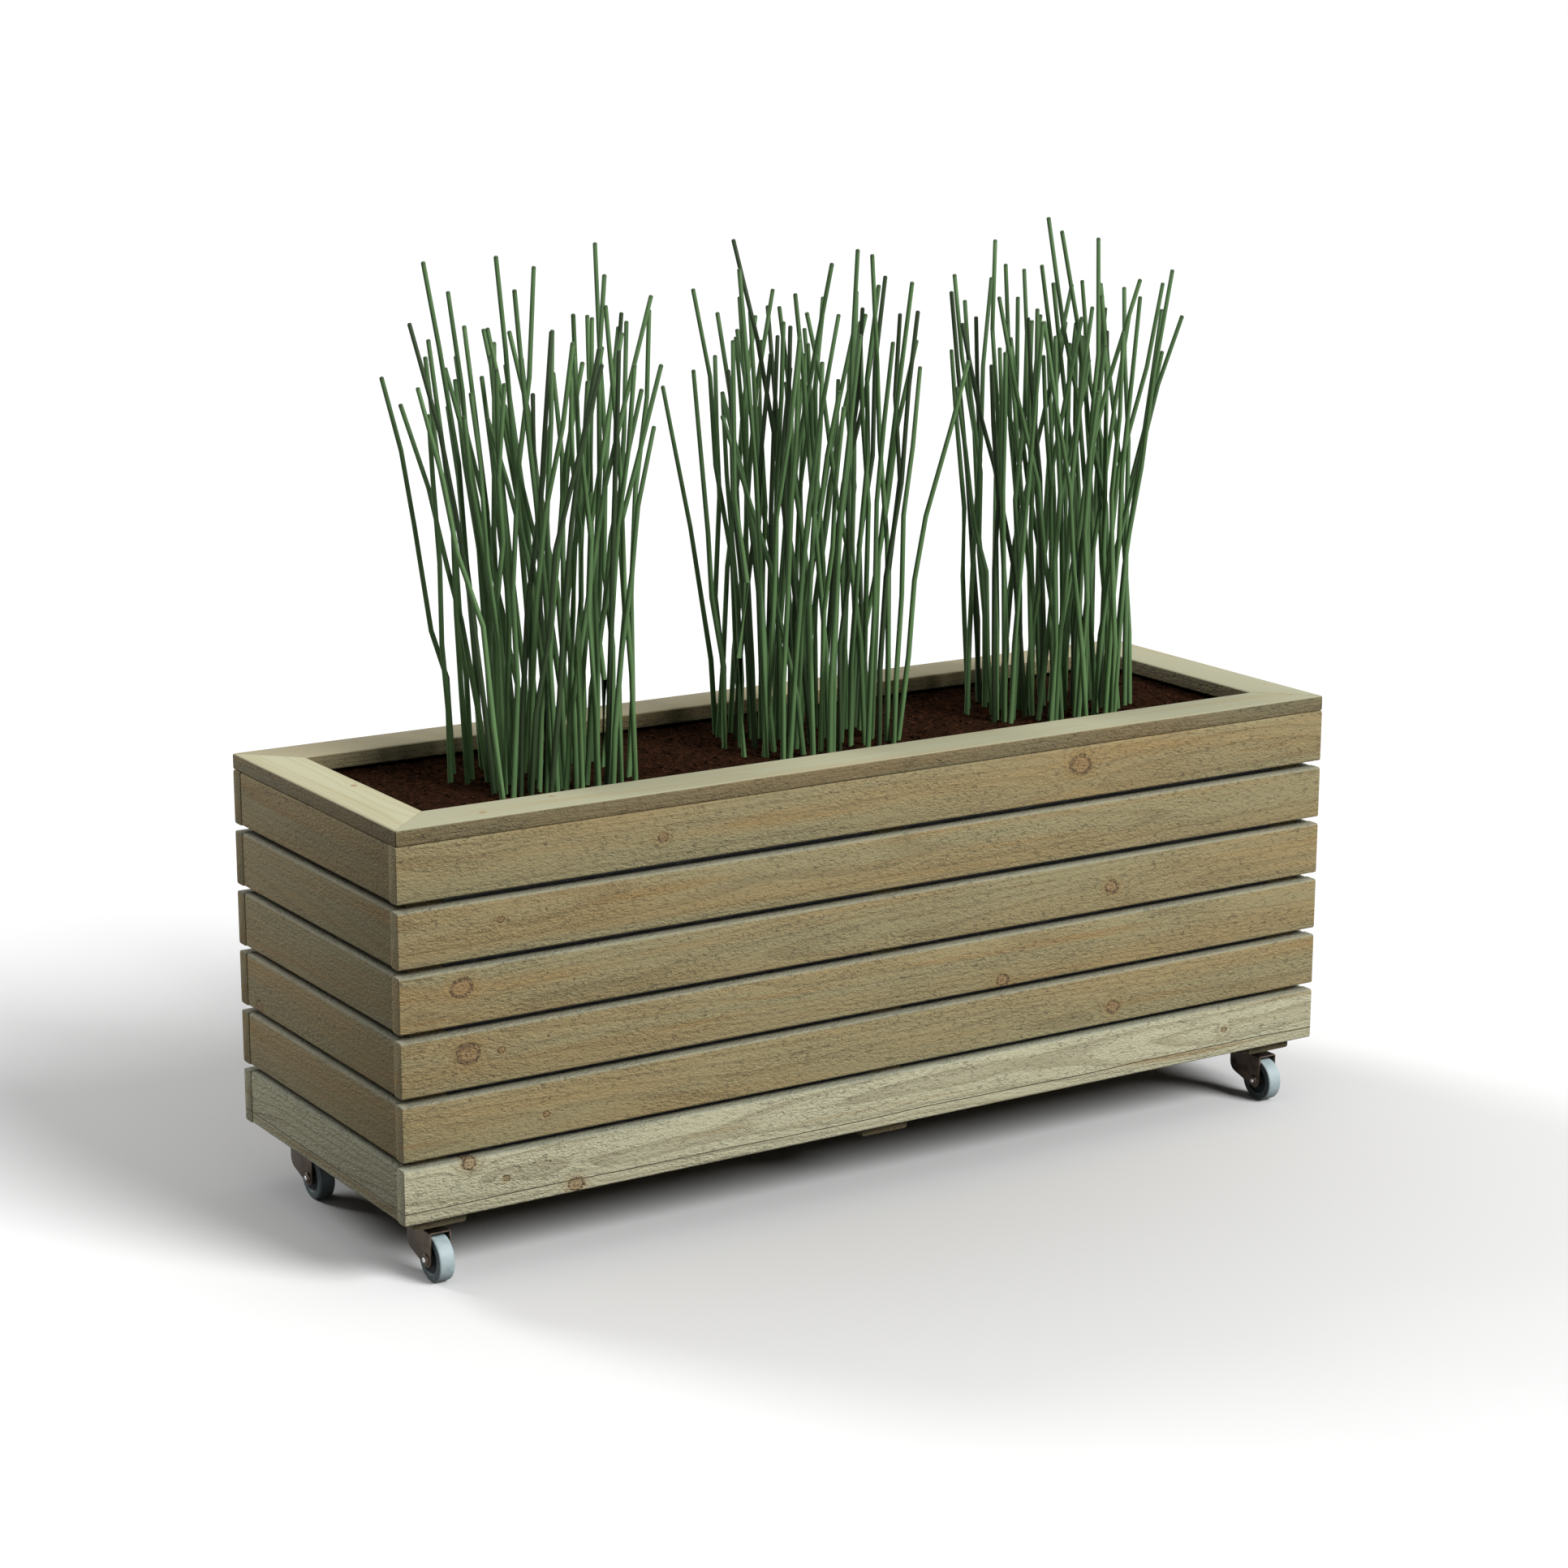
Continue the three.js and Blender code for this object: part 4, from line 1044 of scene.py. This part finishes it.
for corner in ("front_left", "front_right", "back_left", "back_right"):
    wheel_low, wheel_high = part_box(corner + "_wheel")
    axle = (wheel_low + wheel_high) / 2
    plate_low, plate_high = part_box(corner + "_castor_plate")
    pivot = (plate_low + plate_high) / 2
    radius = axle.z

    # The plate, its race and the kingpin's head, with a screw near each of the plate's corners.
    plate_low.z, plate_high.z = PLATE
    parts = [sheet(plate_low, plate_high, 5 * MM, 2)]
    race = [(56.3 * MM, 0, 0), (56.3 * MM, RACE_RADIUS, 1.0 * MM),
            (58.2 * MM, RACE_RADIUS - 1 * MM, 0.6 * MM), (60.5 * MM, RACE_RADIUS - 0.2 * MM, 0),
            (60.5 * MM, 0, 0)]
    axis = Vector((pivot.x, pivot.y, 0))
    parts.append(upright(turned(race, axis), axis))
    head = [(52 * MM, 0, 0), (52 * MM, 7.4 * MM, 0.8 * MM), (53.6 * MM, 7.4 * MM, 0),
            (53.6 * MM, 5 * MM, 0), (57 * MM, 5 * MM, 0), (57 * MM, 0, 0)]
    parts.append(upright(turned(head, axis, 24), axis))
    for sign_x in (-1, 1):
        for sign_y in (-1, 1):
            spot = axis + Vector((sign_x, sign_y, 0)) * SCREW_REACH
            screw = [(58.2 * MM, 0, 0), (58.2 * MM, 4.4 * MM, 1.4 * MM), (60.4 * MM, 4.8 * MM, 0),
                     (60.4 * MM, 0, 0)]
            parts.append(upright(turned(screw, spot, 16), spot))
    piece(corner + "_top_plate", joined(*parts), [steel_material], "trough",
          [corner + "_castor_plate"])

    # The fork: a strap over two cheeks, on a disc that carries the lower race.
    back_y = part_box(corner + "_fork")[1].y
    corners = fork_corners(axle.y, axle.z, TIP_RADIUS, back_y, REAR_LEVEL, REAR_ROUND)
    front_y = corners[0][0]
    strap = sheet(Vector((axle.x - CHEEK_X[1], front_y, CROWN[0])),
                  Vector((axle.x + CHEEK_X[1], back_y, CROWN[1])), 1.9 * MM, 1)
    disc = [(CROWN[0], 5.4 * MM, 0), (CROWN[0], RACE_RADIUS, 0.4 * MM),
            (CROWN[1], RACE_RADIUS, 0.4 * MM), (CROWN[1], 5.4 * MM, 0)]
    parts = [strap, upright(turned(disc, axis), axis)]
    for side in (-1, 1):
        parts.append(cheek(axle.x + side * CHEEK_X[0], axle.x + side * CHEEK_X[1], corners))
    piece(corner + "_pressed_fork", joined(*parts), [steel_material], corner + "_swivel",
          [corner + "_fork"], smooth_below=35)

    # The bolt: a bright pin with round ends, and a dark nut on it outside each cheek.
    pin = [(-16.7 * MM, 0, 0), (-16.7 * MM, 2.8 * MM, 1.4 * MM), (-13 * MM, 3.2 * MM, 0),
           (-13 * MM, 3.9 * MM, 0)]
    nut = [(12.85 * MM, 0, 0), (12.85 * MM, 6.4 * MM, 0.2 * MM), (15.2 * MM, 5.6 * MM, 1.2 * MM),
           (15.2 * MM, 0, 0)]
    other_nut = [(-level, size, rounding) for level, size, rounding in nut]
    bm = turned(mirrored(pin), axle, 32)
    pin_faces = len(bm.faces)
    gather(bm, turned(nut, axle, 32))
    gather(bm, turned(other_nut, axle, 32))
    bm.faces.ensure_lookup_table()
    for face in bm.faces[pin_faces:]:
        face.material_index = 1
    piece(corner + "_axle_bolt", bm, [bolt_material, steel_material], corner + "_swivel",
          [corner + "_axle"])

    # The wheel: a rubber tread bonded to a dark core, hollowed round the hub.
    tread = [(-9 * MM, 16.6 * MM, 0.3 * MM), (-9 * MM, radius, 2.2 * MM)]
    core = [(-10.1 * MM, 4.3 * MM, 0), (-10.1 * MM, 7 * MM, 0.5 * MM), (-6.4 * MM, 7.6 * MM, 0.8 * MM),
            (-6.0 * MM, 15.6 * MM, 0.8 * MM), (-8.4 * MM, 17 * MM, 0)]
    bm = turned(mirrored(tread), axle, 64)
    tread_faces = len(bm.faces)
    gather(bm, turned(mirrored(core), axle))
    bm.faces.ensure_lookup_table()
    for face in bm.faces[tread_faces:]:
        face.material_index = 1
    # Painted shade: the flat sides of the tyre take the darker sidewall rubber.
    for face in bm.faces[:tread_faces]:
        if abs(face.normal.x) > 0.9:
            face.material_index = 2
    piece(corner + "_rubber_wheel", bm, [rubber_material, core_material, sidewall_painted_shade_material],
          corner + "_roller", [corner + "_wheel"], smooth_below=35)
print("castors: 4")
